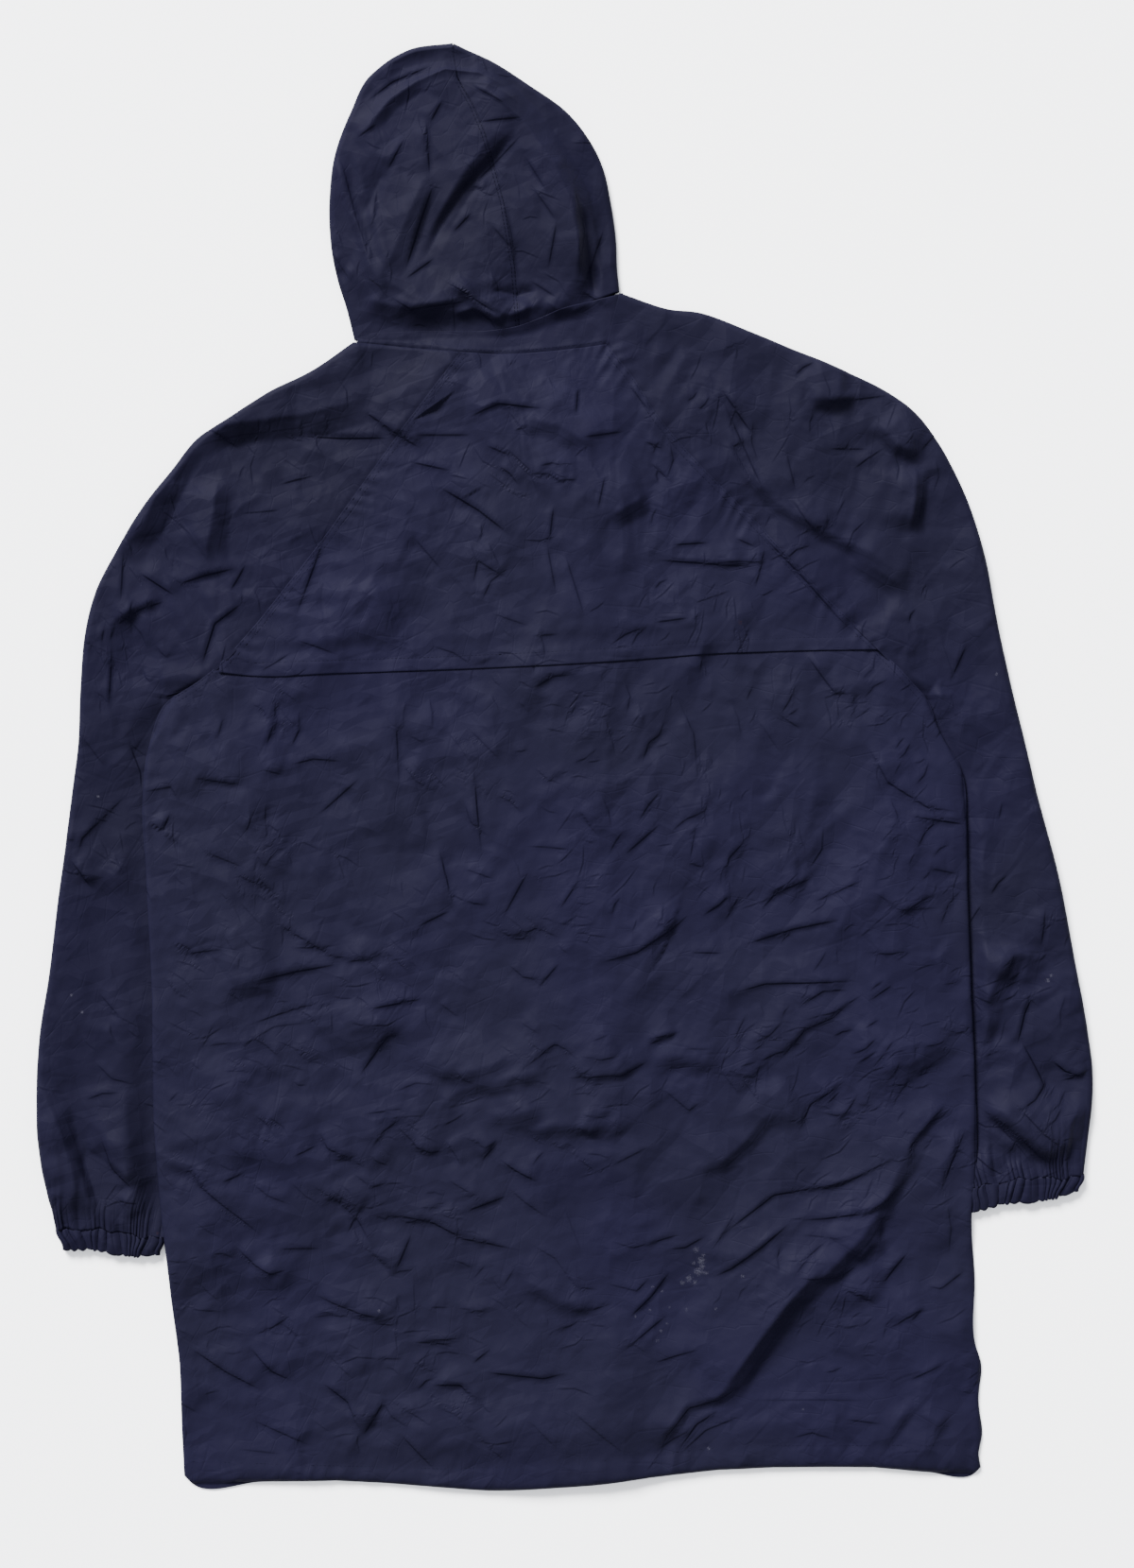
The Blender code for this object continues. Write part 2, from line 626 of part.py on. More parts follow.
def back_panel():
    """The lower back, from the hem to the edge that is tucked under the yoke."""
    left_seam, right_seam = raglan("left", "back"), raglan("right", "back")
    left_seam = left_seam[left_seam[:, 1] < YOKE_EDGE["y"][0]][::-1]
    right_seam = right_seam[right_seam[:, 1] < YOKE_EDGE["y"][-1] - 12][::-1]
    left = np.vstack([plan(SIDE_LEFT)[:-1], left_seam, plan(TUCKED_EDGE)[:1]])
    right = np.vstack([plan(SIDE_RIGHT)[:-1], right_seam, plan(TUCKED_EDGE)[-1:]])
    length = reach_of(left)[-1]
    up = np.concatenate([np.array([0, 9, HEM_DEPTH, 30]) / length,
                         np.linspace(52 / length, 1, 31)])
    across = np.linspace(0, 1, 27)
    return height_sheet("back_panel", patch(plan(HEM), plan(TUCKED_EDGE), left, right,
                                            across, up), back_height)


def back_yoke():
    """The yoke, sewn at the neck and along both raglan seams, free along its lower edge."""
    left_seam, right_seam = raglan("left", "back"), raglan("right", "back")
    left = np.vstack([plan(YOKE_EDGE)[:1], left_seam[left_seam[:, 1] > 84][::-1]])
    right = np.vstack([plan(YOKE_EDGE)[-1:], right_seam[right_seam[:, 1] > 100][::-1]])
    points = patch(plan(YOKE_EDGE), plan(NECK_SEAM), left, right,
                   np.linspace(0, 1, 25), np.linspace(0, 1, 16))
    return height_sheet("back_yoke", points, yoke_height)


def front(side):
    """One front, flat on the surface, lifted over the sleeve's strip and at the closure."""
    own = 1 if side == "left" else -1
    seam = raglan(side, "front")
    edge = plan(SIDE_LEFT if side == "left" else SIDE_RIGHT)
    outer_edge = np.vstack([edge[:-1], seam[::-1]])
    lap_y = np.linspace(-589, 275, 12)
    lap_edge = np.stack([lap_centre(lap_y) + own * LAP_HALF, lap_y], axis=1)
    lap_edge[0, 1] = hem_y(lap_edge[0, 0])
    neck = np.vstack([outer_edge[-1:], NECK_CORNER[side], lap_edge[-1:]])
    hem = plan(HEM)
    hem = hem[(hem[:, 0] - lap_edge[0, 0]) * own < -5][::own]
    hem = np.vstack([hem, lap_edge[:1]])
    cuff_y = SLEEVES[side]["rows"]["back_y"][-1]
    seam_rows = seam[::-1][list(FRONT_SEAM_ROWS), 1]
    row_y = np.concatenate([edge[:1, 1], cuff_y + FRONT_ROWS, FRONT_SIDE_Y, seam_rows])
    reach = reach_of(outer_edge)
    up = np.interp(row_y, outer_edge[:, 1], reach / reach[-1])
    points = patch(hem, neck, outer_edge, lap_edge, FRONT_COLUMNS, up)
    lap_rise = STUD_RISE if side == "left" else LAP_RISE
    flat = LAP_HALF + 2 if side == "left" else LAP_HALF + 7

    def height(x, y):
        strip = FRONT_OVER_SLEEVE * over_sleeves(x, y, 0.0)
        lap = lap_rise * over_lap(x, y, flat, 34.0)
        return FLOOR_PLY + np.maximum(strip, lap)

    return height_sheet(f"front_{side}", points, height)


def neck_band():
    """The band between the yoke and the hood at the back of the neck."""
    lower, upper = plan(BAND_LOWER), plan(BAND_UPPER)
    left = np.vstack([lower[:1], upper[:1]])
    right = np.vstack([lower[-1:], upper[-1:]])
    points = patch(lower, upper, left, right, np.linspace(0, 1, 20), np.linspace(0, 1, 4))

    def height(x, y):
        return SECOND_PLY + YOKE_RISE + 0.6 * relief(x, y)

    return height_sheet("neck_band", points, height)


def stadium(half_width, height, gathers, gather_rise):
    """Middle line of a flat tube's section, as offset across, height, and the outward direction:
    a top with gathers, two round ends and a flat bottom."""
    radius = (height - CUFF_WALL) / 2
    straight = half_width - CUFF_WALL / 2 - radius
    wave = np.linspace(0, 2 * math.pi * gathers, 3 * gathers + 1)
    top_x = np.linspace(-straight, straight, len(wave))
    fade = np.sin(np.linspace(0, math.pi, len(wave)))**0.3
    top_z = 2 * radius + gather_rise * 0.5 * (1 - np.cos(wave)) * fade
    bow = np.radians((60.0, 20.0, -20.0, -60.0))
    right_x, right_z = straight + radius * np.cos(bow), radius + radius * np.sin(bow)
    low_x = np.linspace(straight, -straight, 5)
    across = np.concatenate([top_x, right_x, low_x, -right_x[::-1]])
    up = np.concatenate([top_z, right_z, np.zeros(5), right_z[::-1]]) + CUFF_WALL / 2
    side = np.concatenate([np.zeros(len(wave)), np.cos(bow), np.zeros(5), -np.cos(bow[::-1])])
    lift = np.concatenate([np.ones(len(wave)), np.sin(bow), -np.ones(5), np.sin(bow[::-1])])
    return across, up, side, lift


def cuff(side, near, far):
    """Elastic casing at the end of a sleeve: a flat tube in gathers from `near`, the end that is
    sewn to the sleeve, to `far`. Each is given by its two corners."""
    near, far = np.array(near, float), np.array(far, float)
    middle, outward = [], []
    for share in (0.0, 0.5, 1.0):
        corners = near + (far - near) * share
        centre = corners.mean(axis=0)
        reach = corners[1] - centre
        half_width = np.linalg.norm(reach)
        direction = reach / half_width
        across, up, out, lift = stadium(half_width, CUFF_HEIGHT, CUFF_GATHERS, CUFF_GATHER_RISE)
        middle.append(np.column_stack([centre + across[:, None] * direction, up]))
        outward.append(np.column_stack([out[:, None] * direction, lift]))
    thing = wall_mesh(f"cuff_{side}", np.array(middle), np.array(outward), CUFF_WALL, tube=True)
    return finish(thing, NAVY_CASING, 0.55)


def stud(number, y):
    """Cap of one press stud, on the outer face of the left front, which lies on it."""
    work = bmesh.new()
    bmesh.ops.create_cone(work, cap_ends=True, segments=20, radius1=(STUD_RADIUS - 0.4) * MM,
                          radius2=STUD_RADIUS * MM, depth=STUD_HEIGHT * MM)
    bmesh.ops.translate(work, verts=work.verts,
                        vec=(lap_centre(y) * MM, y * MM, STUD_HEIGHT / 2 * MM))
    mesh = bpy.data.meshes.new(f"stud_{number}")
    work.to_mesh(mesh)
    work.free()
    thing = bpy.data.objects.new(mesh.name, mesh)
    bpy.context.scene.collection.objects.link(thing)
    return finish(thing, NAVY_STUD, 0.35)


def clear_scene():
    """Remove whatever the scene holds."""
    for thing in list(bpy.data.objects):
        bpy.data.objects.remove(thing, do_unlink=True)


def main():
    clear_scene()
    for side in ("left", "right"):
        front(side)
        sleeve(side)
        hood(side)
    back_panel()
    back_yoke()
    neck_band()
    for side, corners in CUFFS.items():
        cuff(side, *corners)
    for number, y in enumerate(STUD_Y, start=1):
        stud(number, y)


main()
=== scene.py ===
# %% [markdown]
# # A hooded raincoat of thin nylon, laid flat with its back up
#
# The coat is made of flat pieces of taffeta: two raglan sleeves, a lower back, a yoke whose lower
# edge is free, a hood in two halves, a band at the neck and two fronts. Nothing here is stiff or
# padded, so every piece is a thin shell, and all of the character is in its creases. The shapes
# are worked out as height fields: a plan of each piece, and a height in millimetres at each point.

# %% Load the frame
import math

import bpy
import numpy as np
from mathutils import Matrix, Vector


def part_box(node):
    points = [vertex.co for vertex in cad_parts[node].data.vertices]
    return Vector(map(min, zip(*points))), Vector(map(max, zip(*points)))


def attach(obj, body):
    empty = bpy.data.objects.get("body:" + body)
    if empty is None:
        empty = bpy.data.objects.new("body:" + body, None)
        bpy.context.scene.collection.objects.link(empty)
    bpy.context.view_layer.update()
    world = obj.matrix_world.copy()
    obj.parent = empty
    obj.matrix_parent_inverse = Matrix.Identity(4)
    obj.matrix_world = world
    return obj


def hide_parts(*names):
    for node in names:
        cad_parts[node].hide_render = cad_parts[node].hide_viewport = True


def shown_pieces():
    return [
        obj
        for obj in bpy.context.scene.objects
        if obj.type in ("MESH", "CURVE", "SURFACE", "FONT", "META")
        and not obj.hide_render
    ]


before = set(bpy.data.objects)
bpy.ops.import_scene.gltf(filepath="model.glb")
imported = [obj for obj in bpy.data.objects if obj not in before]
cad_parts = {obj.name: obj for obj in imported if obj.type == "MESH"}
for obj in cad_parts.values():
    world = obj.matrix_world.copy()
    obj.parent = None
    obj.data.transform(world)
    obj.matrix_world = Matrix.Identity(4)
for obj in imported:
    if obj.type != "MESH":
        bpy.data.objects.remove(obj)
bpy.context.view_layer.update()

# %% [markdown]
# ## Sizes
#
# Lengths are in millimetres here and become metres when a mesh is made. The cloth lies in plies:
# the fronts and the under halves of the sleeves on the surface, the back and the upper halves one
# ply higher. Folds and layers of seam allowance keep the plies further apart than the cloth is
# thick, as they do in a coat that was only smoothed out by hand.

# %% Sizes of the cloth and its layers
MM = 0.001
CLOTH = 0.5
FLOOR_PLY = 0.32
SECOND_PLY = 2.25
YOKE_RISE = 1.8
FRONT_OVER_SLEEVE = 3.6
BACK_OVER_SLEEVE = 4.2
STRIP_MARGIN = 12.0
STRIP_RAMP = 45.0
LAP_HALF = 15.0
STUD_RISE = 1.8
LAP_RISE = STUD_RISE + 1.6
BACK_OVER_LAP = LAP_RISE + 0.6
YOKE_HEM = 11.0
FOLD_DEPTH = 5.0
SEAM_WIDTH = 6.5

# %% [markdown]
# ## Outlines
#
# Each piece has a short table of the points of its own edges, from the hem at -Y to the crown of
# the hood at +Y. A sleeve or a hood half is a row of sections instead: each section runs from the
# fold at the outside to the seam on top and to the seam or hem below.

# %% Tables of edges
def edge(*points):
    """The points of an edge, or the sections of a piece, as an array with one row for each."""
    return np.array(points, float)


def y_on(line, x):
    """Height y of an edge at x."""
    return np.interp(x, line[:, 0], line[:, 1])


# Columns of a section. The sections of a sleeve run from the neck down to the cuff, from its
# outside fold to the back raglan seam on top and to the front raglan seam below. From the armpit
# on, both halves end at the underarm seam.
OUTER, UPPER, LOWER = slice(0, 2), slice(2, 4), slice(4, 6)
SLEEVES = {
    "left": {"armpit": 10, "side": -1, "slope": 26, "rows": edge(
        (-175, 350, -86, 341, -123, 327), (-208, 327, -115, 303, -146, 293),
        (-244, 309, -144, 265, -168, 260), (-278, 287, -167, 233, -189, 228),
        (-304, 270, -190, 201, -210, 196), (-325, 243, -214, 169, -229, 166),
        (-349, 212, -239, 137, -246, 137), (-371, 176, -262, 109, -263, 110),
        (-388, 141, -284, 85, -284, 85), (-396, 106, -304, 69, -304, 69),
        (-399, 66, -324, 57, -324, 57), (-401, 20, -313, 12, -313, 12),
        (-405, -12, -300, -25, -300, -25), (-411, -60, -292, -70, -292, -70),
        (-418, -111, -288, -120, -288, -120), (-425, -171, -290, -180, -290, -180),
        (-433, -224, -297, -234, -297, -234), (-435, -275, -307, -286, -307, -286),
        (-433, -314, -318, -325, -318, -325), (-427, -347, -326, -355, -326, -355),
        (-419, -377, -331, -385, -331, -385),
    )},
    "right": {"armpit": 11, "side": 1, "slope": 12, "rows": edge(
        (45, 391, 34, 348, 10, 332), (84, 378, 58, 318, 38, 306), (114, 374, 75, 291, 67, 282),
        (158, 357, 92, 270, 92, 260), (189, 344, 110, 250, 117, 237),
        (218, 332, 134, 226, 142, 213), (269, 307, 160, 200, 168, 190),
        (298, 281, 190, 166, 194, 167), (328, 229, 216, 139, 219, 141),
        (344, 182, 242, 115, 243, 117), (357, 116, 270, 87, 270, 88),
        (369.5, 60, 297, 58, 297, 58), (380, 17, 296, 6, 296, 6), (390, -26, 284, -32, 284, -32),
        (405, -82, 277, -92, 277, -92), (421, -164, 284, -174, 284, -174),
        (430, -213, 296, -226, 296, -226), (435, -255, 307, -268, 307, -268),
        (431, -306, 326, -316, 326, -316), (427, -334, 336, -342, 336, -342),
    )},
}
# Side edges of the body from the hem up to the armpit.
SIDES = {
    "left": edge(
        (-314, -584), (-316, -547), (-318, -490), (-325, -437), (-328, -406), (-333, -365),
        (-338, -305), (-340, -230), (-340, -193), (-345, -92), (-348, -24), (-343, 17),
        (-324, 57),
    ),
    "right": edge(
        (343, -577), (341, -566), (344, -551), (341, -522), (343, -490), (338, -474), (338, -419),
        (335, -368), (338, -341), (338, -255), (335, -186), (332, -104), (331, -49), (327, -3),
        (308, 31), (297, 58),
    ),
}
# Lower edge of the back, the free edge of the yoke, the seam at the neck.
HEM = edge(
    (-314, -584), (-308, -590), (-250, -589), (-189, -588), (-150, -590), (-97, -594),
    (-65, -596), (-17, -594), (33, -590), (70, -585), (127, -579), (173, -577), (254, -577),
    (299, -581), (338, -582), (343, -577),
)
YOKE_EDGE = edge(
    (-284, 78), (-256, 75), (-190, 77), (-135, 79), (-80, 81), (-29, 83), (41, 87), (116, 93),
    (195, 96), (259, 97),
)
NECK_SEAM = edge((-86, 341), (-59, 340), (-29, 341), (4, 344), (34, 348))
TUCKED_EDGE = edge((-258, 112), (-150, 148), (0, 158), (130, 158), (232, 118))
# Neck band: the hood is sewn to its upper edge.
BAND_LOWER = edge(
    (-171, 350.3), (-123, 345.7), (-86, 341.9), (-59, 340.9), (-29, 341.9), (4, 344.9), (33, 349),
)
BAND_UPPER = edge((-171, 352.4), (-123, 354.5), (-37, 359.0), (0, 373.0), (34, 386.0))
# Hood sections from the neck to the crown. Each runs from the edge of the laid hood to the
# centre seam on top and to the hem of the face opening below.
HOOD = {
    "left": edge(
        (-173.5, 352, -37.3, 360, -20.5, 279.5), (-180, 378, -38.3, 385, -70, 320),
        (-188, 404, -41.3, 411, -108, 360), (-193, 432, -45.3, 438, -130, 400),
        (-194, 466, -50.3, 465, -140, 440), (-189, 506, -57.3, 492, -138, 480),
        (-177, 538, -65.3, 519, -130, 508), (-160, 570, -75.3, 543, -117, 532),
        (-126, 591, -83.3, 557, -107, 545), (-92.3, 595.5, -88.3, 566, -95, 549),
    ),
    "right": edge(
        (45, 392, -36.7, 360, -19.5, 280.5), (43, 412, -37.7, 385, -5, 330),
        (42, 436, -40.7, 411, 0, 370), (38, 464, -44.7, 438, 0, 408),
        (31, 495, -49.7, 465, -5, 442), (18, 520, -56.7, 492, -14, 475),
        (0, 541, -64.7, 519, -28, 502), (-27, 560, -74.7, 543, -50, 526),
        (-60, 581, -82.7, 557, -72, 541), (-91.7, 595.3, -87.7, 566, -94.4, 549),
    ),
}
DOME_EDGE = edge(
    (-152, 388), (-162, 408), (-172, 453), (-182, 492), (-180, 520), (-160, 548), (-130, 566),
    (-95, 570), (-65, 562), (-34, 533), (-12, 512), (2, 488), (11, 460), (12, 430), (10, 402),
    (-2, 386), (-30, 374), (-52, 370), (-66, 379), (-82, 385), (-110, 379), (-135, 380),
)
# Large folds of the hood. Each row: steep width, gentle width, rise, then x and y along the fold.
HOOD_FOLDS = (
    (9, 18, 5.4, -168, 510, -158, 530, -143, 548, -122, 562, -98, 572, -70, 569, -44, 555),
    (14, 6, 5.4, -156, 573, -140, 586, -117, 592, -94, 594, -74, 586),
    (5, 7, 2.4, -187, 506, -181, 472, -168, 440, -159, 410, -152, 392),
    (6, 10, 2.0, -172, 512, -166, 474, -154, 444, -146, 416, -140, 396),
    (13, 36, 3.4, -160, 424, -146, 399, -125, 386, -108, 379, -88, 374, -66, 371),
    (17, 12, 3.6, -166, 386, -150, 381, -132, 377, -118, 375, -104, 376),
    (5, 12, 3.4, -70, 388, -60, 378, -46, 371, -34, 374, -28, 384),
    (6, 8, 3.0, -92, 372, -76, 377, -62, 372, -50, 364),
    (8, 14, 2.6, -18, 384, -6, 376, 8, 376, 24, 384),
    (17, 50, 8.4, 13, 392, 13, 412, 11, 434, 5, 464, -9, 494, -34, 529, -60, 551, -84, 565),
    (7, 9, -6.5, 24, 384, 23, 404, 18, 436, 12, 462),
    (6, 16, 2.4, -62, 392, -52, 380, -40, 374, -26, 378, -16, 388),
    (6, 14, 4.2, -98, 396, -82, 389, -70, 377, -54, 369, -47, 378),
    (5.5, 11, -3.3, -34, 526, -62, 496, -84, 472, -102, 446, -118, 410),
    (14, 34, 4.0, -147, 404, -134, 440, -116, 480, -106, 490),
    (34, 26, 2.6, -184, 405, -165, 399, -144, 399),
    (9, 10, -2.4, -148, 492, -158, 470, -164, 452),
    (30, 12, 4.2, -126, 552, -98, 563, -64, 560, -30, 540),
    (6, 8, -3.2, -62, 393, -40, 388, -22, 392),
)
# Stitch line of the hem casing, where the casing is joined, and the seam of the hood.
HEM_STITCH = edge(
    (-313, -571.5), (-210, -574), (-97, -577), (-6, -573), (120, -560), (139, -558), (340, -558),
)
CASING_JOIN = edge((289.5, -579), (289, -559))
HOOD_SEAM = edge((-37, 361), (-41, 411), (-50, 465), (-65, 519), (-75, 543), (-88, 566), (-92, 590))
# Corners of each cuff casing where it meets the sleeve, then where it ends.
CUFFS = {
    "left": (((-418.6, -377.7), (-331.0, -385.6)), ((-414.0, -396.0), (-333.5, -404.0))),
    "right": (((336.2, -342.2), (427.0, -334.7)), ((334.0, -365.3), (424.0, -351.0))),
}
NECK_CORNER = {"left": (-21.0, 277.5), "right": (-17.0, 278.0)}

print("sleeve sections:", {side: len(sleeve["rows"]) for side, sleeve in SLEEVES.items()})

# %% [markdown]
# ## Curves, patches and distances
#
# A smooth curve through the points of an edge is a cubic Hermite curve by the distance travelled.
# A piece between four such edges is a Coons patch: it blends the two side curves and the two end
# curves. Both work on whole arrays, so a grid of eighty thousand points takes one call.

# %% Curves and patches
def reach_of(points):
    """Distance travelled from the first point to each point."""
    steps = np.linalg.norm(np.diff(points, axis=0), axis=1)
    return np.concatenate([[0.0], np.cumsum(steps)])


def along(points, fractions):
    """Points at fractions of the way along a smooth curve through all points: each stretch is a
    cubic that leaves and arrives with the slopes of its two ends."""
    points = np.asarray(points, float)
    reach = reach_of(points)
    slope = np.gradient(points, reach, axis=0)
    place = np.asarray(fractions, float) * reach[-1]
    first = np.clip(np.searchsorted(reach, place, side="right") - 1, 0, len(reach) - 2)
    span = (reach[first + 1] - reach[first])[:, None]
    t = (place - reach[first])[:, None] / span
    near = 2 * t**3 - 3 * t**2 + 1
    far = 3 * t**2 - 2 * t**3
    leave = (t**3 - 2 * t**2 + t) * span
    arrive = (t**3 - t**2) * span
    return (near * points[first] + far * points[first + 1]
            + leave * slope[first] + arrive * slope[first + 1])


def patch(bottom, top, left, right, across, up):
    """Plan points inside four edge curves: the blend of the two side curves plus the blend of the
    two end curves, less the blend of the four corners."""
    u = np.asarray(across, float)[None, :, None]
    v = np.asarray(up, float)[:, None, None]
    low = along(bottom, across)[None]
    high = along(top, across)[None]
    start = along(left, up)[:, None]
    end = along(right, up)[:, None]
    corners = ((1 - v) * ((1 - u) * low[:, :1] + u * low[:, -1:])
               + v * ((1 - u) * high[:, :1] + u * high[:, -1:]))
    return (1 - v) * low + v * high + (1 - u) * start + u * end - corners


def spaced(length, step, border=(0.0, 0.8, 1.8, 3.0)):
    """Fractions along a length, a step apart but closer at both ends, an odd number in all."""
    border = np.array(border)
    count = int(round((length - 2 * border[-1]) / step))
    count += count % 2
    inner = np.linspace(border[-1], length - border[-1], count + 1)[1:-1]
    return np.concatenate([border, inner, length - border[::-1]]) / length


def smooth(t):
    """0 up to 0, 1 from 1 on, and a smooth step between."""
    t = np.clip(t, 0.0, 1.0)
    return t * t * (3 - 2 * t)


def unit(vectors):
    """Vectors brought to a length of 1."""
    return vectors / np.linalg.norm(vectors, axis=-1, keepdims=True)


def fading(travel, length, share=0.3):
    """1 along the middle of a line, falling smoothly to 0 over a share of it at both ends."""
    return smooth(travel / (share * length)) * smooth((length - travel) / (share * length))


# %% Distances in plan
def nearest_on_line(x, y, points):
    """For each x, y: its distance to a line of straight pieces, its side (+1 to the left of the
    line's direction, -1 to the right), and how far along the line the nearest point lies."""
    best = np.full(np.shape(x), np.inf)
    side = np.ones(np.shape(x))
    travel = np.zeros(np.shape(x))
    start = 0.0
    for (ax, ay), (bx, by) in zip(points[:-1], points[1:]):
        dx, dy = bx - ax, by - ay
        length = math.hypot(dx, dy)
        share = np.clip(((x - ax) * dx + (y - ay) * dy) / length**2, 0.0, 1.0)
        away_x, away_y = x - ax - share * dx, y - ay - share * dy
        distance = np.hypot(away_x, away_y)
        nearer = distance < best
        best = np.where(nearer, distance, best)
        side = np.where(nearer, np.where(dx * away_y - dy * away_x >= 0, 1.0, -1.0), side)
        travel = np.where(nearer, start + share * length, travel)
        start += length
    return best, side, travel


def depth_inside(x, y, points):
    """Distance to a closed outline, positive inside it and negative outside."""
    ring = np.vstack([points, points[:1]])
    inside = np.zeros(np.shape(x), bool)
    for (ax, ay), (bx, by) in zip(ring[:-1], ring[1:]):
        if ay == by:
            continue
        crossing = ax + (y - ay) * (bx - ax) / (by - ay)
        inside ^= ((ay > y) != (by > y)) & (x < crossing)
    distance = nearest_on_line(x, y, ring)[0]
    return np.where(inside, distance, -distance)


def near_line(x, y, line, reach):
    """Numbers of the points in a box that leaves `reach` all round a line."""
    low, high = line.min(axis=0) - reach, line.max(axis=0) + reach
    return np.flatnonzero((x > low[0]) & (x < high[0]) & (y > low[1]) & (y < high[1]))


# %% [markdown]
# ## Creases
#
# Thin coated nylon doesn't ripple, it creases: flat facets meet at sharp lines. Each main crease
# is listed with a width, a rise and the points of its line. Its profile is a step: a steep
# face as wide as the crease's width, which faces away from the window light and so reads as the
# dark band of the fold. Long gentle slopes lead up to the crest and away from the foot.

# %% Main creases
def alike(width, rise, *lines):
    """Rows of a crease table that share a width and a rise."""
    return tuple((width, rise, *line) for line in lines)


# Each row: width, rise, then x and y of each point along the crease.
YOKE_CREASES = (
    *alike(6, 3,
        (-81, 286, -54, 298, -15, 294), (134, 270, 158, 226), (128, 312, 156, 272),
        (-107, 233, -71, 211, -43, 189), (73, 171, 124, 167, 158, 165), (-154, 283, -118, 262)),
    *alike(4.5, 1.5,
        (13, 270, 49, 276), (51, 316, 70, 292), (11, 314, 9, 288), (-125, 190, -100, 161),
        (-9, 216, -13, 183), (33, 240, 27, 211), (87, 183, 120, 185), (140, 189, 158, 181),
        (65, 268, 80, 262), (70, 251, 88, 234), (-15, 185, -7, 141), (-1, 179, 17, 121),
        (-125, 273, -75, 273), (-130, 252, -90, 243), (-51, 264, -29, 244, -21, 220),
        (-76, 173, -50, 156), (72, 119, 103, 123)),
    (11, 3.8, -41, 283, -6, 273, 25, 254), (11, 3.8, 74, 220, 37, 198),
    (15, 3.2, -150, 165, -135, 105), (2.6, 0.7, 103, 134, 138, 146),
    (2.6, 0.7, -61, 127, -29, 116),
)
LEFT_SLEEVE_CREASES = (
    *alike(6, 3,
        (-168, 295, -131, 269), (-351, 161, -319, 140), (-320, 150, -296, 158, -270, 164),
        (-263, 137, -288, 118, -299, 82), (-331, 58, -312, 63), (-306, 48, -278, 72),
        (-359, 20, -350, -4, -349, -21), (-407, -75, -389, -100)),
    *alike(4.5, 1.5,
        (-363, 180, -365, 136), (-262, 168, -276, 144), (-196, 195, -222, 122),
        (-236, 233, -204, 241), (-268, 209, -232, 212), (-373, 102, -375, 49),
        (-359, 20, -344, 8), (-397, 26, -379, 1), (-402, -74, -397, -58, -360, -21),
        (-384, -185, -364, -208), (-367, -341, -379, -358)),
    (8, 4, -222, 273, -184, 271, -140, 271),
    (14, 5.4, -300, 268, -318, 238, -338, 198, -362, 166),
    (15, 6.5, -276, 242, -280, 205, -287, 166), (8, 4.8, -371, 116, -350, 130, -328, 137),
    (15, 3.2, -391, -84, -341, -131), (15, 3.2, -367, -124, -341, -157),
    (15, 3.2, -417, -281, -407, -321, -404, -345),
    (12, 5.5, -428, -254, -413, -281, -404, -304, -397, -326, -393, -350, -389, -372),
    (11, 4.2, -408, -312, -386, -324, -364, -337, -350, -350),
    (9, 4.5, -402, -308, -392, -335, -381, -375), (16, 3.0, -352, -256, -350, -290, -346, -326),
    (5, 1.9, -380, -373, -378, -361, -366, -356, -352, -358, -347, -373),
    (16, 6.4, -322, 256, -292, 268, -263, 274, -214, 280, -180, 289, -148, 298),
    (8, 3.4, -382, -300, -372, -330, -350, -350), (10, 4.0, -372, -352, -358, -366, -340, -372),
)
RIGHT_SLEEVE_CREASES = (
    *alike(4.5, 1.5,
        (213, 299, 268, 306), (127, 308, 170, 212), (215, 262, 250, 262), (181, 262, 190, 226),
        (127, 169, 168, 169), (331, 102, 316, 69), (349, -285, 376, -315, 392, -335)),
    (9, 6.2, 250, 284, 268, 262, 292, 250), (11, 8.1, 296, 250, 294, 222, 289, 190),
    (9, 4.6, 128, 280, 150, 240, 173, 212, 213, 190, 250, 172, 286, 143),
    (11, 5.1, 229, 171, 280, 140), (6, 3, 156, 198, 195, 157, 236, 111),
    (6, 3, 343, -112, 331, -133), (6, 3, 370, -152, 360, -175), (15, 3.2, 306, 32, 322, 61),
    (15, 3.2, 392, -146, 386, -185), (2.6, 0.7, 360, -28, 357, -43),
    (2.6, 0.7, 407, -331, 410, -323, 416, -320), (13, 4.6, 372, -148, 362, -176, 350, -204),
    (7, 3.6, 386, -184, 378, -204, 372, -230), (7, 3.6, 374, -222, 386, -244, 400, -272),
    (7, 3.6, 400, -240, 412, -250, 430, -256),
    (11, 6.5, 336, -276, 352, -286, 372, -300, 392, -320, 412, -334),
    (6.5, 3.6, 338, -277, 368, -299, 390, -319, 408, -331),
    (10, 4.5, 334, -296, 352, -306, 368, -318, 386, -338),
    (12, 4.4, 432, -274, 420, -300, 416, -326), (14, 4.5, 352, -196, 346, -226, 340, -256),
    (7, 3.2, 366, -272, 392, -300, 416, -318), (8, 3.8, 334, -316, 350, -330, 366, -338),
    (10, 5.4, 243, 303, 222, 296, 196, 298),
)
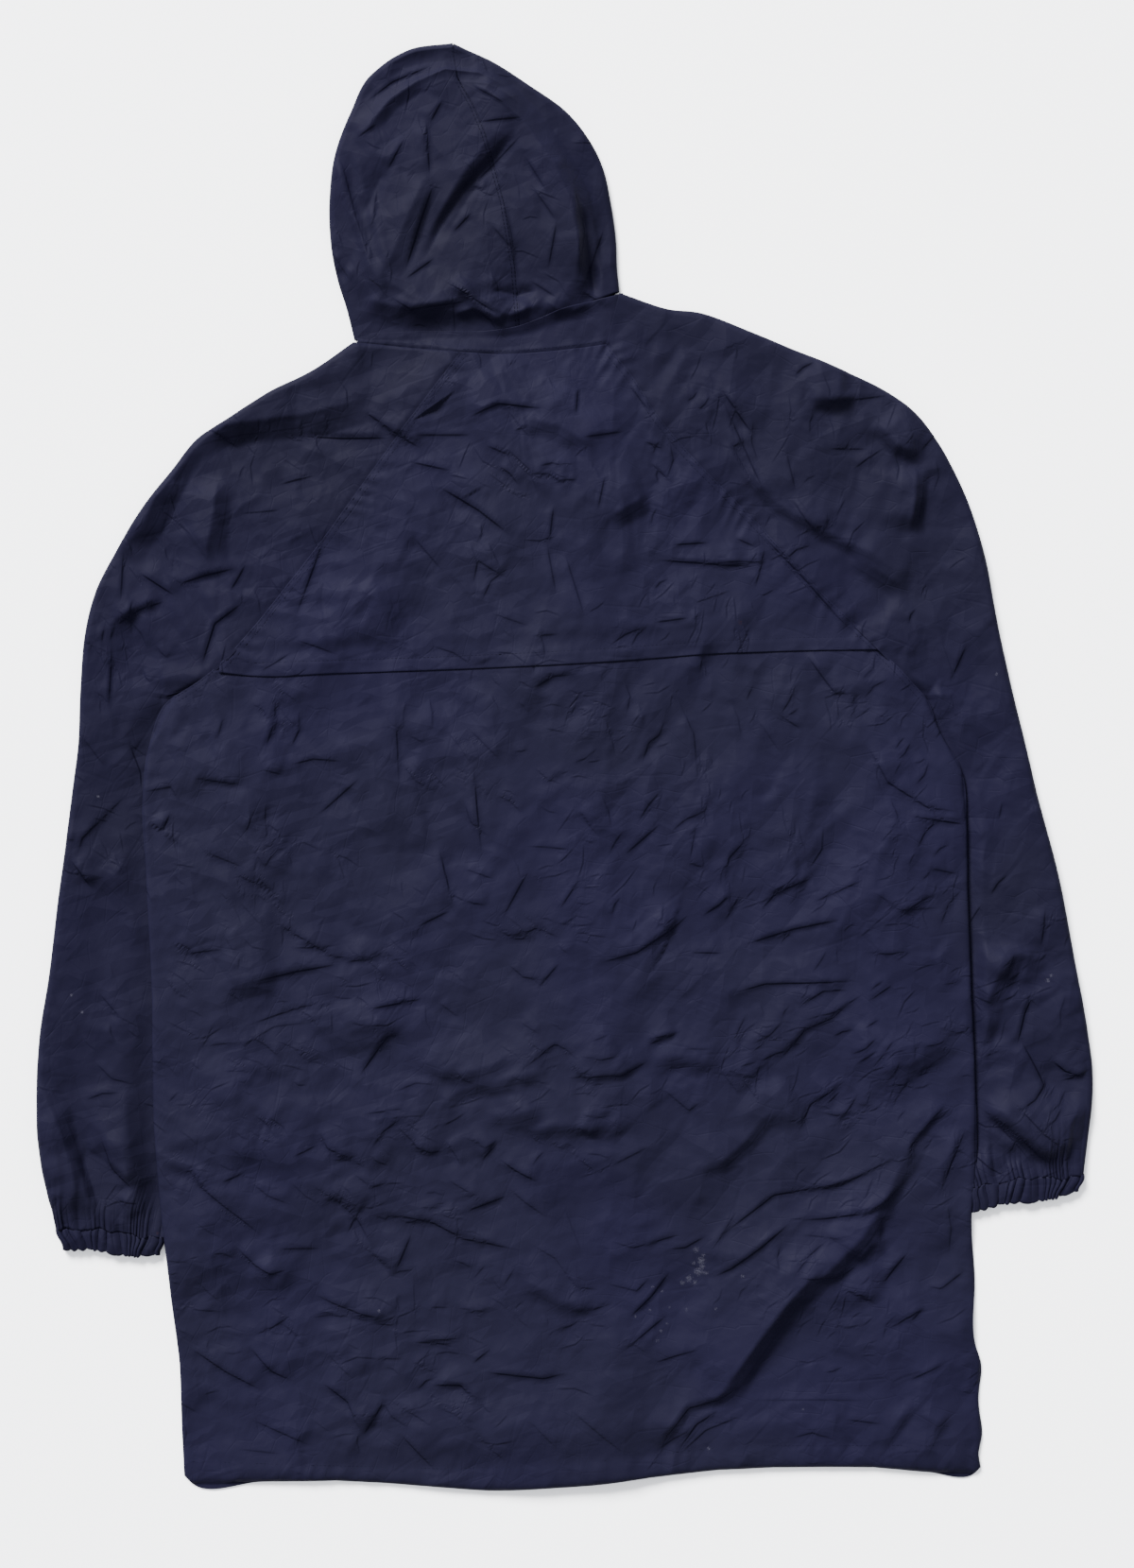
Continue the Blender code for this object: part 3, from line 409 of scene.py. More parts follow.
BACK_CREASES = (
    *alike(6, 3,
        (197, 95, 222, 61, 241, 61), (-238, 64, -238, 38, -247, 13),
        (-242, -125, -207, -146, -182, -160), (-260, -177, -221, -168, -182, -161),
        (-76, 9, -68, -76), (-104, -65, -91, -116), (-164, -199, -115, -190),
        (244, 26, 265, -12, 298, -33, 329, -37), (282, -40, 331, -47),
        (27, -161, 59, -152, 88, -133, 104, -119), (160, -119, 174, -103, 205, -90),
        (144, -147, 188, -133, 230, -124), (134, -187, 165, -178, 244, -176),
        (-344, -42, -331, -52, -324, -36), (-170, -255, -146, -221, -131, -219),
        (-1, -255, 47, -253, 72, -239), (-68, -323, -54, -306),
        (-127, -310, -111, -317, -100, -315), (-99, -306, -90, -319, -85, -329),
        (-55, -321, -41, -331, -21, -341), (-84, -366, -65, -359, -47, -352),
        (-203, -297, -195, -313, -182, -319, -170, -319),
        (-326, -337, -308, -331, -298, -345, -274, -365, -252, -383, -244, -387),
        (-210, -342, -188, -356, -172, -370, -162, -388, -159, -398),
        (-162, -369, -131, -370, -108, -375, -83, -388, -57, -393, -31, -398),
        (-274, -391, -256, -409, -242, -417, -226, -412), (67, -228, 95, -217),
        (192, -301, 202, -278, 217, -268, 233, -256),
        (175, -243, 197, -216, 220, -206, 235, -193),
        (315, -276, 300, -294, 285, -310, 285, -329),
        (187, -373, 215, -371, 247, -366, 265, -356, 286, -334),
        (187, -373, 162, -394, 137, -412, 119, -421),
        (-208, -433, -188, -442, -167, -450, -146, -455), (-312, -476, -280, -497, -246, -515),
        (-262, -474, -242, -497, -223, -506), (-203, -504, -179, -522, -166, -550),
        (-166, -550, -147, -518), (-136, -547, -106, -579), (-111, -508, -86, -508, -70, -525),
        (-68, -497, -17, -502, 3, -497), (190, -418, 202, -420, 225, -420, 243, -409),
        (225, -429, 243, -434, 258, -443), (261, -427, 272, -412, 283, -399),
        (52, -453, 72, -434, 87, -414)),
    *alike(4.5, 1.5,
        (-247, -2, -232, -6), (-227, 2, -207, 7, -182, 5), (-168, -8, -203, -39),
        (-258, -83, -229, -116), (-182, -161, -148, -153), (-308, -8, -262, -15),
        (-139, 49, -136, -19), (-80, 33, -52, 5), (-17, -13, -1, -4), (10, -33, 22, -48),
        (-122, -131, -93, -117), (-83, -83, -57, -92), (-83, -109, -63, -114),
        (-52, -125, -28, -81), (-4, -116, 13, -90), (-104, -193, -87, -206),
        (-23, -182, -4, -160), (90, 63, 106, 28, 111, -23), (174, 45, 195, 31),
        (158, 40, 179, 10), (10, -35, 29, -58), (99, -77, 118, -84), (71, -122, 85, -133),
        (132, -126, 144, -105), (202, -112, 247, -91), (251, -100, 275, -117, 310, -115),
        (102, -152, 132, -153), (249, -192, 270, -178), (195, -208, 223, -201, 247, -185),
        (66, -224, 95, -217), (296, -82, 329, -89), (314, -276, 287, -306),
        (-348, -20, -324, -16, -317, -29), (-299, -10, -263, -14), (-299, -68, -262, -83),
        (-318, -154, -279, -149), (33, 41, 42, 10), (49, -72, 80, -45),
        (-264, -213, -218, -197, -182, -193), (-37, -249, -8, -227, 2, -232, 13, -243),
        (-83, -303, -65, -313, -54, -305), (-97, -339, -80, -349, -69, -353),
        (-47, -345, -33, -357, -13, -371), (-159, -313, -149, -299, -134, -288),
        (-167, -285, -136, -281, -129, -285), (-246, -285, -231, -295, -226, -306),
        (-224, -320, -203, -310), (-29, -391, -8, -403, 7, -424, 13, -432),
        (-236, -396, -200, -396), (-159, -398, -146, -409, -141, -416), (-126, -383, -139, -414),
        (-282, -341, -264, -333), (-260, -339, -244, -352, -224, -360),
        (-175, -333, -159, -345, -146, -342), (77, -261, 102, -282, 112, -274),
        (127, -247, 144, -270), (142, -251, 162, -278), (247, -214, 258, -207),
        (252, -249, 272, -221), (215, -278, 227, -266),
        (194, -351, 227, -344, 252, -331, 280, -317), (310, -334, 318, -379, 316, -406),
        (119, -399, 132, -381, 142, -364), (84, -396, 99, -395, 117, -385),
        (64, -394, 77, -389, 95, -384), (2, -313, 27, -334), (2, -414, 10, -427, 29, -429),
        (34, -424, 59, -430, 70, -419), (-207, -447, -157, -456), (-147, -518, -106, -543),
        (-122, -472, -81, -469), (-260, -536, -207, -559), (-157, -486, -132, -486),
        (93, -566, 116, -545, 148, -532), (185, -552, 203, -547, 226, -554),
        (230, -536, 262, -540), (223, -427, 256, -442), (265, -463, 297, -444),
        (86, -449, 45, -481), (2, -525, 52, -566), (297, -427, 310, -429, 330, -414),
        (2, -447, 24, -445, 41, -439), (285, -456, 295, -444), (72, -490, 111, -478),
        (283, -505, 314, -490), (-29, -536, -6, -560), (-76, -490, -61, -478)),
    *alike(15, 3.2,
        (-286, -184, -234, -179), (-204, -214, -177, -227, -131, -211),
        (-264, -411, -249, -427, -228, -438), (250, -268, 272, -256, 303, -243, 330, -224)),
    *alike(2.6, 0.7,
        (-278, -229, -262, -227, -239, -213, -206, -209), (-299, -232, -288, -210),
        (-37, -209, -21, -219), (-252, -309, -242, -325), (-1, -361, 15, -401),
        (-51, -427, -41, -411), (-76, -421, -65, -409), (-125, -419, -123, -457),
        (-326, -275, -318, -267), (-280, -249, -260, -249), (95, -231, 122, -231),
        (246, -356, 254, -336), (194, -384, 229, -388), (320, -296, 322, -324),
        (34, -329, 70, -311), (148, -521, 205, -520, 258, -521), (-271, -561, -232, -565),
        (-209, -536, -192, -548)),
    *alike(10, 3.4,
        (-136, -227, -121, -245, -103, -255, -83, -256, -57, -249, -31, -232),
        (-54, -306, -29, -302, -5, -299, 37, -299, 67, -288),
        (105, -334, 132, -328, 152, -311, 165, -294, 180, -281),
        (-41, -428, -21, -433, -5, -444, 13, -447, 33, -438)),
    *alike(11, 3.8,
        (-113, -299, -98, -283, -83, -271, -59, -263, -11, -255, -5, -247),
        (-69, -292, -44, -293, -13, -283), (68, -246, 102, -243, 124, -256),
        (173, -249, 192, -276, 192, -301), (245, -412, 255, -399, 268, -396)),
    (12, 5.0, 300, -292, 285, -325, 268, -362, 250, -390, 221, -420, 200, -437),
    (9, 3.6, 288, -524, 274, -545, 261, -566), (9, 3.6, 318, -530, 304, -556, 296, -572),
    (17, 9.5, 232, -404, 208, -428, 191, -444, 161, -485, 140, -515, 122, -536),
    (8, 4.0, 148, -506, 126, -520, 102, -526, 84, -548, 76, -570),
    (7, 3.2, 128, -528, 108, -540, 93, -562), (8, 3.6, 330, -296, 318, -325, 308, -352),
    (5, 2.2, 262, -330, 220, -344, 172, -352, 120, -392),
)
HOOD_CREASES = (
    *alike(6, 3,
        (-106, 482, -119, 446, -132, 404), (-114, 532, -111, 484),
        (-145, 387, -126, 375, -77, 383), (-100, 400, -76, 385, -54, 371),
        (6, 481, 16, 439, 11, 396)),
    *alike(4.5, 1.5,
        (-72, 528, -33, 532), (-76, 478, -65, 474), (-92, 439, -76, 456), (-76, 478, -33, 520),
        (13, 392, 42, 376), (-51, 470, -44, 435, -39, 396),
        (-189, 507, -182, 492, -172, 453, -154, 399), (-164, 546, -141, 563, -106, 577),
        (-6, 450, -14, 407), (-28, 478, -6, 446), (-61, 446, -41, 423), (-131, 517, -146, 489),
        (-154, 478, -158, 439), (-170, 517, -154, 528), (-33, 501, -14, 470),
        (-131, 400, -106, 419), (-192, 424, -176, 400), (33, 446, 17, 400),
        (-100, 548, -111, 528), (-76, 559, -45, 540)),
    (11, 3.8, -33, 530, -61, 505, -84, 474, -110, 428), (2.6, 0.7, -29, 400, -6, 385),
    (2.6, 0.7, -61, 407, -53, 390),
)
UPPER_CREASES = YOKE_CREASES + LEFT_SLEEVE_CREASES + RIGHT_SLEEVE_CREASES
print("creases:", len(UPPER_CREASES) + len(BACK_CREASES) + len(HOOD_CREASES))

# %% Height of the creases
TOWARDS_LIGHT = np.array((-0.5, 0.87))
GENTLE_SHARE = 2.6
GENTLE_EXTRA = 16.0
GENTLE_POWER = 1.35
CREST_SHARE = 0.68
WIDTH_GAIN = 0.85
RISE_GAIN = 1.25
BROAD_FROM = 7.0


def dark_side(line):
    """+1 if a crease's left side faces away from the light, or else -1."""
    chord = line[-1] - line[0]
    return -1.0 if np.dot((-chord[1], chord[0]), TOWARDS_LIGHT) > 0 else 1.0


def crease_height(x, y, line, width, rise):
    """Height of one crease. The face falls in a straight line from the crest to the foot. The crest
    takes the larger share of the rise and the foot the rest, and each decays to 0 as a power of
    the distance left on its own side. The crease fades out towards both of its ends."""
    broad = 1.0 + 0.4 * smooth((width - BROAD_FROM) / 5)
    width, rise = broad * (WIDTH_GAIN * width + 0.5), broad * RISE_GAIN * rise
    distance, side, travel = nearest_on_line(x, y, line)
    into_dark = distance * side * dark_side(line) + width / 2
    gentle = GENTLE_SHARE * width + GENTLE_EXTRA
    lit = CREST_SHARE * np.clip(1 + into_dark / gentle, 0.0, 1.0)**GENTLE_POWER
    past_foot = np.maximum(into_dark - width, 0.0)
    foot = (CREST_SHARE - 1) * np.clip(1 - past_foot / gentle, 0.0, 1.0)**GENTLE_POWER
    dark = np.where(past_foot > 0, foot, CREST_SHARE - np.minimum(into_dark / width, 1.0))
    return rise * fading(travel, reach_of(line)[-1]) * np.where(into_dark < 0, lit, dark)


def creases(x, y, rows):
    """Sum of all creases in a table, each worked out only for the points that it reaches."""
    flat_x, flat_y = np.ravel(x), np.ravel(y)
    total = np.zeros(flat_x.shape)
    for width, rise, *line in rows:
        line = np.reshape(line, (-1, 2))
        near = near_line(flat_x, flat_y, line, 1.4 * (GENTLE_SHARE + 1) * width + GENTLE_EXTRA)
        if len(near):
            total[near] += crease_height(flat_x[near], flat_y[near], line, width, rise)
    return total.reshape(np.shape(x))


# %% [markdown]
# ## Crumple between the creases
#
# Between the main creases lie hundreds of short ones. Each gets a random place, and a direction
# that follows the drag of the cloth there: steep near the yoke and flatter towards the hem, down
# and outwards on both sides of the coat.
#
# The cloth was packed away for years, so it has small flat dents all over. They are worked out as
# facets: every square cell holds an upturned pyramid at a random place, and the lowest one wins,
# which leaves shallow hollows with sharp ridges between them. Drag lines run down and outwards on
# both sides, so the cells are stretched along a direction that mirrors across the coat.

# %% Short creases
def mirrored(x, left, right):
    """One value on the left of the coat, another on the right, and a smooth change between."""
    to_right = smooth((x + 90) / 180)
    return left * (1 - to_right) + right * to_right


def drag(x, y):
    """Direction of the drag lines in degrees: one on the left and its mirror image on the right,
    steeper towards the top."""
    steep = 24 + 42 * smooth((y + 310) / 320)
    return mirrored(x, -steep, steep)


def scattered(count, seed, low, high):
    """Rows for a crease table: bent lines of random length in clusters in a box. Most follow the
    drag within a third of a right angle, and the longer ones are also the taller ones."""
    lottery = np.random.default_rng(seed)
    place = lottery.uniform(low, high, (3 * count, 2))
    x, y = place[:, 0], place[:, 1]
    crowd = np.sin(x / 41 + 2.1 * np.sin(y / 67)) * np.sin(y / 49 + 1.7 * np.sin(x / 83) + 0.6)
    place = place[np.argsort(-crowd - 1.7 * lottery.random(3 * count), kind="stable")[:count]]
    size = lottery.random(count)**2
    turn = np.radians(drag(place[:, 0], place[:, 1]) + 30 * lottery.standard_normal(count))
    half = (6 + 15 * size)[:, None] * np.stack([np.cos(turn), np.sin(turn)], axis=1)
    bend = (lottery.uniform(-0.3, 0.3, count)[:, None]) * half[:, ::-1] * (-1, 1)
    points = np.concatenate([place - half, place + bend, place + half], axis=1)
    width = 2.6 + 2.6 * size
    rise = (0.18 + 0.24 * lottery.random(count)) * width
    return np.column_stack([width, rise, points])


UPPER_SHORT = scattered(260, 71, (-430, -390), (430, 350))
BACK_SHORT = scattered(240, 72, (-345, -575), (345, 95))
print("short creases:", len(UPPER_SHORT) + len(BACK_SHORT))

# %% [markdown]
# A crease that is thinner than the mesh can still be crisp. Each point of the cloth stores its
# distance to the nearest crease line, and how strong that crease is there. Distance is linear
# across a line, so it survives on a coarse mesh, and the shader makes a step of it that is about
# a millimetre wide.

# %% Thin crease lines
LINE_REACH = 7.0
LINE_JUMP = 2.8
# Share of the strength that is left for a crease wider than this.
BROAD_LINE, BROAD_LINE_FROM = 0.15, 8
UPPER_THIN = scattered(460, 81, (-430, -390), (430, 350))
BACK_THIN = scattered(440, 82, (-345, -575), (345, 95))
HOOD_THIN = scattered(44, 83, (-195, 352), (45, 596))


def crease_lines(middle, *tables):
    """Two numbers a point: the distance to the nearest crease, positive on its dark side, and its
    strength. The strength is 0 from the reach on and where neighbours belong to two creases, so
    that a jump from one crease to another can't show. Broad creases have hardly any line."""
    shape = middle.shape[:2]
    x, y = middle[..., 0].ravel(), middle[..., 1].ravel()
    away, strength = np.full(x.shape, LINE_REACH), np.zeros(x.shape)
    for width, rise, *line in (row for table in tables for row in table):
        line = np.reshape(line, (-1, 2))
        near = near_line(x, y, line, LINE_REACH)
        if not len(near):
            continue
        distance, side, travel = nearest_on_line(x[near], y[near], line)
        fade = fading(travel, reach_of(line)[-1])
        closer = distance < np.abs(away[near])
        point = near[closer]
        away[point] = (distance * side * dark_side(line))[closer]
        kind = BROAD_LINE if width > BROAD_LINE_FROM else 1.0
        strength[point] = fade[closer] * min(1.0, 0.3 + rise / 5) * kind
    strength = (strength * (1 - np.abs(away) / LINE_REACH)**2).reshape(shape)
    away = away.reshape(shape)
    across = np.abs(np.diff(away, axis=1)) > LINE_JUMP
    up = np.abs(np.diff(away, axis=0)) > LINE_JUMP
    strength[:, :-1][across] = strength[:, 1:][across] = 0.0
    strength[:-1][up] = strength[1:][up] = 0.0
    return np.stack([away, strength], axis=-1)


# %% Crumple
# Each size: cell, rise, how far the cells are drawn out.
CRUMPLE_SIZES = ((62.0, 7.2, 1.7), (26.0, 3.4, 1.5))
# Direction of the cells in degrees near the hem and near the yoke, on the left and on the right.
CRUMPLE_ANGLES = ((-24, -64), (22, 68))
LOTTERY_CELLS = 64


def facets(x, y, cell, seed):
    """Lower envelope of upturned pyramids, one at a random place in each square cell. A pyramid's
    height is the largest of three planes that rise from its tip a third of a turn apart, plus a
    tilt and a height of its own, so every face is flat and every edge is sharp."""
    size = (LOTTERY_CELLS, LOTTERY_CELLS)
    lottery = np.random.default_rng(seed).random((*size, 5))
    turn = 2 * math.pi * (np.random.default_rng(seed + 500).random((*size, 1)) + (0, 0.31, 0.66))
    planes = np.stack([np.cos(turn), np.sin(turn)], axis=-1)
    gx, gy = x / cell, y / cell
    cell_x, cell_y = np.floor(gx).astype(int), np.floor(gy).astype(int)
    lowest = np.full(np.shape(x), np.inf)
    for step_x, step_y in np.ndindex(3, 3):
        here_x, here_y = cell_x + step_x - 1, cell_y + step_y - 1
        draw = lottery[here_x % LOTTERY_CELLS, here_y % LOTTERY_CELLS]
        plane = planes[here_x % LOTTERY_CELLS, here_y % LOTTERY_CELLS]
        off_x, off_y = gx - here_x - draw[..., 0], gy - here_y - draw[..., 1]
        faces = plane[..., 0] * off_x[..., None] + plane[..., 1] * off_y[..., None]
        pyramid = np.max(faces, axis=-1) + 0.12 * np.hypot(off_x, off_y)
        pyramid += (draw[..., 2] - 0.5) * 0.7 * off_x + (draw[..., 3] - 0.5) * 0.7 * off_y
        lowest = np.minimum(lowest, pyramid + 0.45 * draw[..., 4])
    return lowest


def stretched(x, y, angle, stretch):
    """Plan coordinates turned by an angle in degrees, with the first one squeezed, so that a
    pattern on them is drawn out along that direction."""
    c, s = math.cos(math.radians(angle)), math.sin(math.radians(angle))
    return (x * c + y * s) / stretch, -x * s + y * c


def crumple(x, y, seed):
    """Facets of two sizes on bent coordinates, drawn out along one direction on the left of the
    coat and along its mirror image on the right, and stronger in some places than in others."""
    bent_x = x + 5.5 * np.sin(y / 41 + 1.7 * np.sin(x / 63)) + 0.5 * np.sin(y / 13 + x / 29)
    bent_y = y + 5.5 * np.sin(x / 47 + 1.3 * np.sin(y / 57)) + 0.5 * np.sin(x / 15 - y / 23)
    to_top = smooth((y + 250 + 60 * np.sin(x / 90)) / 160)
    total = 0.0
    for number, (cell, rise, stretch) in enumerate(CRUMPLE_SIZES):
        sides = []
        for side, angles in enumerate(CRUMPLE_ANGLES):
            low, high = (facets(*stretched(bent_x, bent_y, angle, stretch), cell,
                                seed + 4 * number + side + 2 * steep)
                         for steep, angle in enumerate(angles))
            sides.append(low + (high - low) * to_top)
        spread = cell / 19
        patches = 0.5 + 0.8 * (np.sin(x / (31 * spread) + 2 * np.sin(y / (43 * spread) + number))
                               * np.sin(y / (37 * spread) + 1.5 * np.sin(x / (49 * spread))))
        total = total + rise * (0.25 + 0.75 * smooth(patches)) * mirrored(x, *sides)
    return total


# %% [markdown]
# ## Seams
#
# A seam is felt as a narrow double layer with two rows of stitches that sink into it, and the
# cloth beside it puckers, because thread and cloth don't shrink alike.

# %% Seam ridges and puckers
SEAM_REACH = 34.0


def seam_relief(x, y, line, rows, width=SEAM_WIDTH, rise=0.14, pucker=0.45, groove=0.12, seed=0):
    """A flat ridge as wide as the seam allowance, less a small groove under each row of stitches,
    plus puckers across the seam whose height fades with the distance from it. `rows` lists the
    distances of the stitch rows from the line, and the ridge lies on the line's left."""
    flat_x, flat_y = np.ravel(x), np.ravel(y)
    total = np.zeros(flat_x.shape)
    near = near_line(flat_x, flat_y, line, SEAM_REACH)
    if len(near):
        distance, side, travel = nearest_on_line(flat_x[near], flat_y[near], line)
        off = distance * side
        ridge = rise * smooth((off + 0.8) / 1.6) * smooth((width + 1.0 - off) / 2.0)
        ridge -= groove * sum(np.exp(-(off - row)**2) for row in rows)
        slanted = travel + 0.35 * np.abs(off)
        wave = np.sin(slanted / 2.1 + 2.4 * np.sin(slanted / 13.0 + seed))
        strength = 0.5 + 0.5 * np.sin(travel / 23.0 + 1.9 * seed)
        longest = 5.0 + 9.0 * np.sin(travel / 17.0 + 2.3 * seed)**2
        fade = np.exp(-(np.maximum(np.abs(off - width / 2) - width / 2, 0) / longest)**1.5)
        total[near] = ridge + pucker * strength * np.maximum(wave, -0.4) * fade
    return total.reshape(np.shape(x))


# %% [markdown]
# ## Heights of the laid coat
#
# The big shape is set by what lies underneath: the body rises over the strip of each sleeve that
# is tucked under it and over the doubled front closure, and the yoke lies one ply above the back.
# The creases, the crumple and the seams are added to that.

# %% What lies under the back
def side_x(side, y):
    """Side edge of the body at height y."""
    return np.interp(y, SIDES[side][:, 1], SIDES[side][:, 0])


def over_sleeves(x, y, shift):
    """1 over the strip of each sleeve that lies under the body, 0 away from it. The slope starts
    `shift` further in from the underarm seam than the margin."""
    share = np.zeros(np.shape(x))
    for sleeve in SLEEVES.values():
        seam = sleeve["rows"][sleeve["armpit"]:, UPPER]
        inwards = (x - np.interp(y, seam[::-1, 1], seam[::-1, 0])) * -sleeve["side"]
        strip = 1.0
        for past in (inwards - STRIP_MARGIN, y - seam[0, 1], seam[-1, 1] - 6 - y):
            strip = strip * (1 - smooth((past - shift) / STRIP_RAMP))
        share = np.maximum(share, strip)
    return share


def lap_centre(y):
    """x of the line down the middle of the front closure."""
    return np.interp(y, (-596.0, 278.0), (14.0, -20.0))


def over_lap(x, y, flat, ramp):
    """1 within `flat` of the closure's middle line, falling to 0 over the ramp."""
    share = 1 - smooth((np.abs(x - lap_centre(y)) - flat) / ramp)
    return share * (1 - smooth((y - 290.0) / 50.0))


def body_rise(x, y):
    """How far the back of the coat is lifted by the sleeves and the closure under it."""
    sleeves = BACK_OVER_SLEEVE * over_sleeves(x, y, 12.0)
    return np.maximum(sleeves, BACK_OVER_LAP * over_lap(x, y, 32.0, 60.0))


def swell(x, y):
    """Gentle unevenness of laid cloth: the product of two bent waves, never below zero."""
    wave = np.sin(x / 37 + 1.3 * np.sin(y / 61)) * np.sin(y / 43 + 0.9 * np.sin(x / 53))
    return 1.1 * (1 + wave)


def rolled(depth, drop, width=2.4):
    """How far a turned edge rolls down: a quarter round over its last few millimetres."""
    t = np.clip(1 - depth / width, 0.0, 1.0)
    return drop * (1 - np.sqrt(1 - t**2))


# %% Seam lines of the back
def raglan(side, columns, count=60):
    """The raglan seam from the neck to the armpit, on the back or on the front."""
    sleeve = SLEEVES[side]
    return along(sleeve["rows"][:sleeve["armpit"] + 1, columns], np.linspace(0, 1, count))


RAGLAN = {side: raglan(side, UPPER) for side in SLEEVES}
YOKE_STITCH = YOKE_EDGE + (0, YOKE_HEM)
STITCH_ROWS = (1.4, 5.4)
print("raglan seams: %.0f and %.0f mm" % tuple(reach_of(seam)[-1] for seam in RAGLAN.values()))


def raglan_relief(x, y):
    """Ridge, stitch grooves and puckers along both raglan seams. The ridge lies on the body."""
    left = seam_relief(x, y, RAGLAN["left"], STITCH_ROWS, pucker=0.8, seed=1)
    return left + seam_relief(x, y, RAGLAN["right"][::-1], STITCH_ROWS, pucker=0.8, seed=2)


# %% Heights of the back and the yoke
LOWEST_FOLD = 1.6
BACK_LEVEL = 4.0
SIDE_LEVEL = 1.7


def softly_above_zero(value, softness=0.8):
    """The value itself where it is well above zero, and a smooth approach to zero below."""
    return 0.5 * (value + np.sqrt(value**2 + softness**2))


def slack(x, y, seed, *tables):
    """Unevenness, creases and crumple of one layer of cloth. A crease reaches hardly deeper than
    the lowest fold."""
    folds = sum(creases(x, y, rows) for rows in tables)
    folds = softly_above_zero(folds + LOWEST_FOLD) - LOWEST_FOLD
    return 0.6 * swell(x, y) + folds + crumple(x, y, seed)


def upper_relief(x, y):
    """Slack of the yoke, the neck band and the sleeves."""
    return slack(x, y, 11, UPPER_CREASES, UPPER_SHORT)


def back_relief(x, y):
    """Slack of the lower back."""
    return slack(x, y, 29, BACK_CREASES, BACK_SHORT)


def tucked(x, y):
    """1 where the lower back shows, falling to 0 behind the yoke."""
    return smooth((y_on(YOKE_EDGE, x) - y + 32) / 24)


def yoke_height(x, y):
    """Middle of the yoke's cloth. It lies close on the lower back at its free edge and follows
    its creases there, and is one ply above it further up."""
    from_edge = y - y_on(YOKE_EDGE, x)
    free = smooth(from_edge / 30)
    relief = free * upper_relief(x, y) + (1 - free) * tucked(x, y) * back_relief(x, y)
    hem = 0.12 * smooth((YOKE_HEM - from_edge) / 2.5) - 0.18 * np.exp(-(from_edge - YOKE_HEM)**2)
    neck = seam_relief(x, y, BAND_LOWER, (1.6,), width=3.4, rise=0.4, pucker=0.5, seed=3)
    height = SECOND_PLY + YOKE_RISE * (0.5 + 0.5 * free) + body_rise(x, y) + relief
    return height + raglan_relief(x, y) + neck + hem - rolled(from_edge, 0.3, 1.2)


def back_height(x, y):
    """Middle of the lower back's cloth: rolled down at its side edges, flat where it is tucked
    under the yoke, puckered and stitched along the hem casing."""
    from_side = np.minimum(x - side_x("left", y), side_x("right", y) - x)
    from_stitch, from_hem = y - y_on(HEM_STITCH, x), y - y_on(HEM, x)
    free = (0.25 + 0.75 * smooth(from_side / 14)) * (0.35 + 0.65 * smooth((from_stitch + 2) / 26))
    level = SIDE_LEVEL + (BACK_LEVEL - SIDE_LEVEL) * smooth(from_side / 70)
    relief = softly_above_zero(level + free * (back_relief(x, y) - BACK_LEVEL), 0.4)
    depth = np.maximum(from_hem - from_stitch, 6.0)
    casing = 0.8 * np.sin(math.pi * np.clip(from_hem / depth, 0, 1))
    ripple = np.sin(x / 2.6 + 2.2 * np.sin(x / 17) + from_hem / 9)
    casing = casing * (1 + 0.6 * ripple * (0.5 + 0.5 * np.sin(x / 37)))
    seams = sum(seam_relief(x, y, line, (0.0,), width=1.0, rise=0.0, pucker=pucker, seed=seed)
                for line, pucker, seed in ((HEM_STITCH, 0.45, 5), (CASING_JOIN, 0.2, 6)))
    height = SECOND_PLY + body_rise(x, y) + tucked(x, y) * relief + casing
    edges = np.maximum(rolled(from_side, SIDE_LEVEL + 1.2, 4.6), rolled(from_hem, level + 1.2, 5.0))
    armpits = smooth((y - 40) / 20) * raglan_relief(x, y)
    return height + seams + armpits - edges * smooth((y_on(YOKE_EDGE, x) - y) / 8)


# %% Heights of the hood
HOOD_EDGE = 3.4
HOOD_CROWN = 7.8
HOOD_LOWEST = 3.0
HOOD_MIDDLE = (-82.0, 474.0)
HOOD_ROWS = (0.8, 3.2)


def fold_line(x, y, line, steep, gentle, rise):
    """A fold with a side of its own choosing: it falls over `steep` to the right of the line's
    direction and over `gentle` to its left. A negative rise is a valley."""
    line = np.reshape(line, (-1, 2))
    distance, side, travel = nearest_on_line(x, y, line)
    off = distance * side
    shape = np.where(off > 0, np.clip(1 - off / gentle, 0, 1)**1.5,
                     np.clip(1 + off / steep, 0, 1)**1.2)
    return rise * fading(travel, reach_of(line)[-1], 0.22) * shape


def hood_height(x, y):
    """Middle of the hood's upper cloth: a low crown, the large folds that its slack cloth has
    fallen into, its own creases and the crumple."""
    depth = depth_inside(x, y, DOME_EDGE)
    off_x, off_y = x - HOOD_MIDDLE[0], y - HOOD_MIDDLE[1]
    away = np.hypot(off_x, off_y) + 1.0
    to_light = smooth(0.42 + 0.8 * (off_x * TOWARDS_LIGHT[0] + off_y * TOWARDS_LIGHT[1]) / away)
    crown = smooth((depth + 19 - 11 * to_light) / (21 + 32 * to_light))
    crown = HOOD_CROWN * (crown + 0.6 * to_light * (1 - crown))
    crown = crown * (1 - 0.45 * np.exp(-((x + 48) / 34)**2 - ((y - 385) / 40)**2))
    folds = sum(fold_line(x, y, line, steep, gentle, rise)
                for steep, gentle, rise, *line in HOOD_FOLDS)
    seam = seam_relief(x, y, HOOD_SEAM, HOOD_ROWS, width=4.0, rise=0.06, pucker=0.35,
                       groove=0.06, seed=4)
    small = creases(x, y, HOOD_CREASES) + 0.5 * crumple(x, y, 47)
    height = HOOD_EDGE + 1.2 + crown + folds + small + seam
    return HOOD_LOWEST + softly_above_zero(height - HOOD_LOWEST)


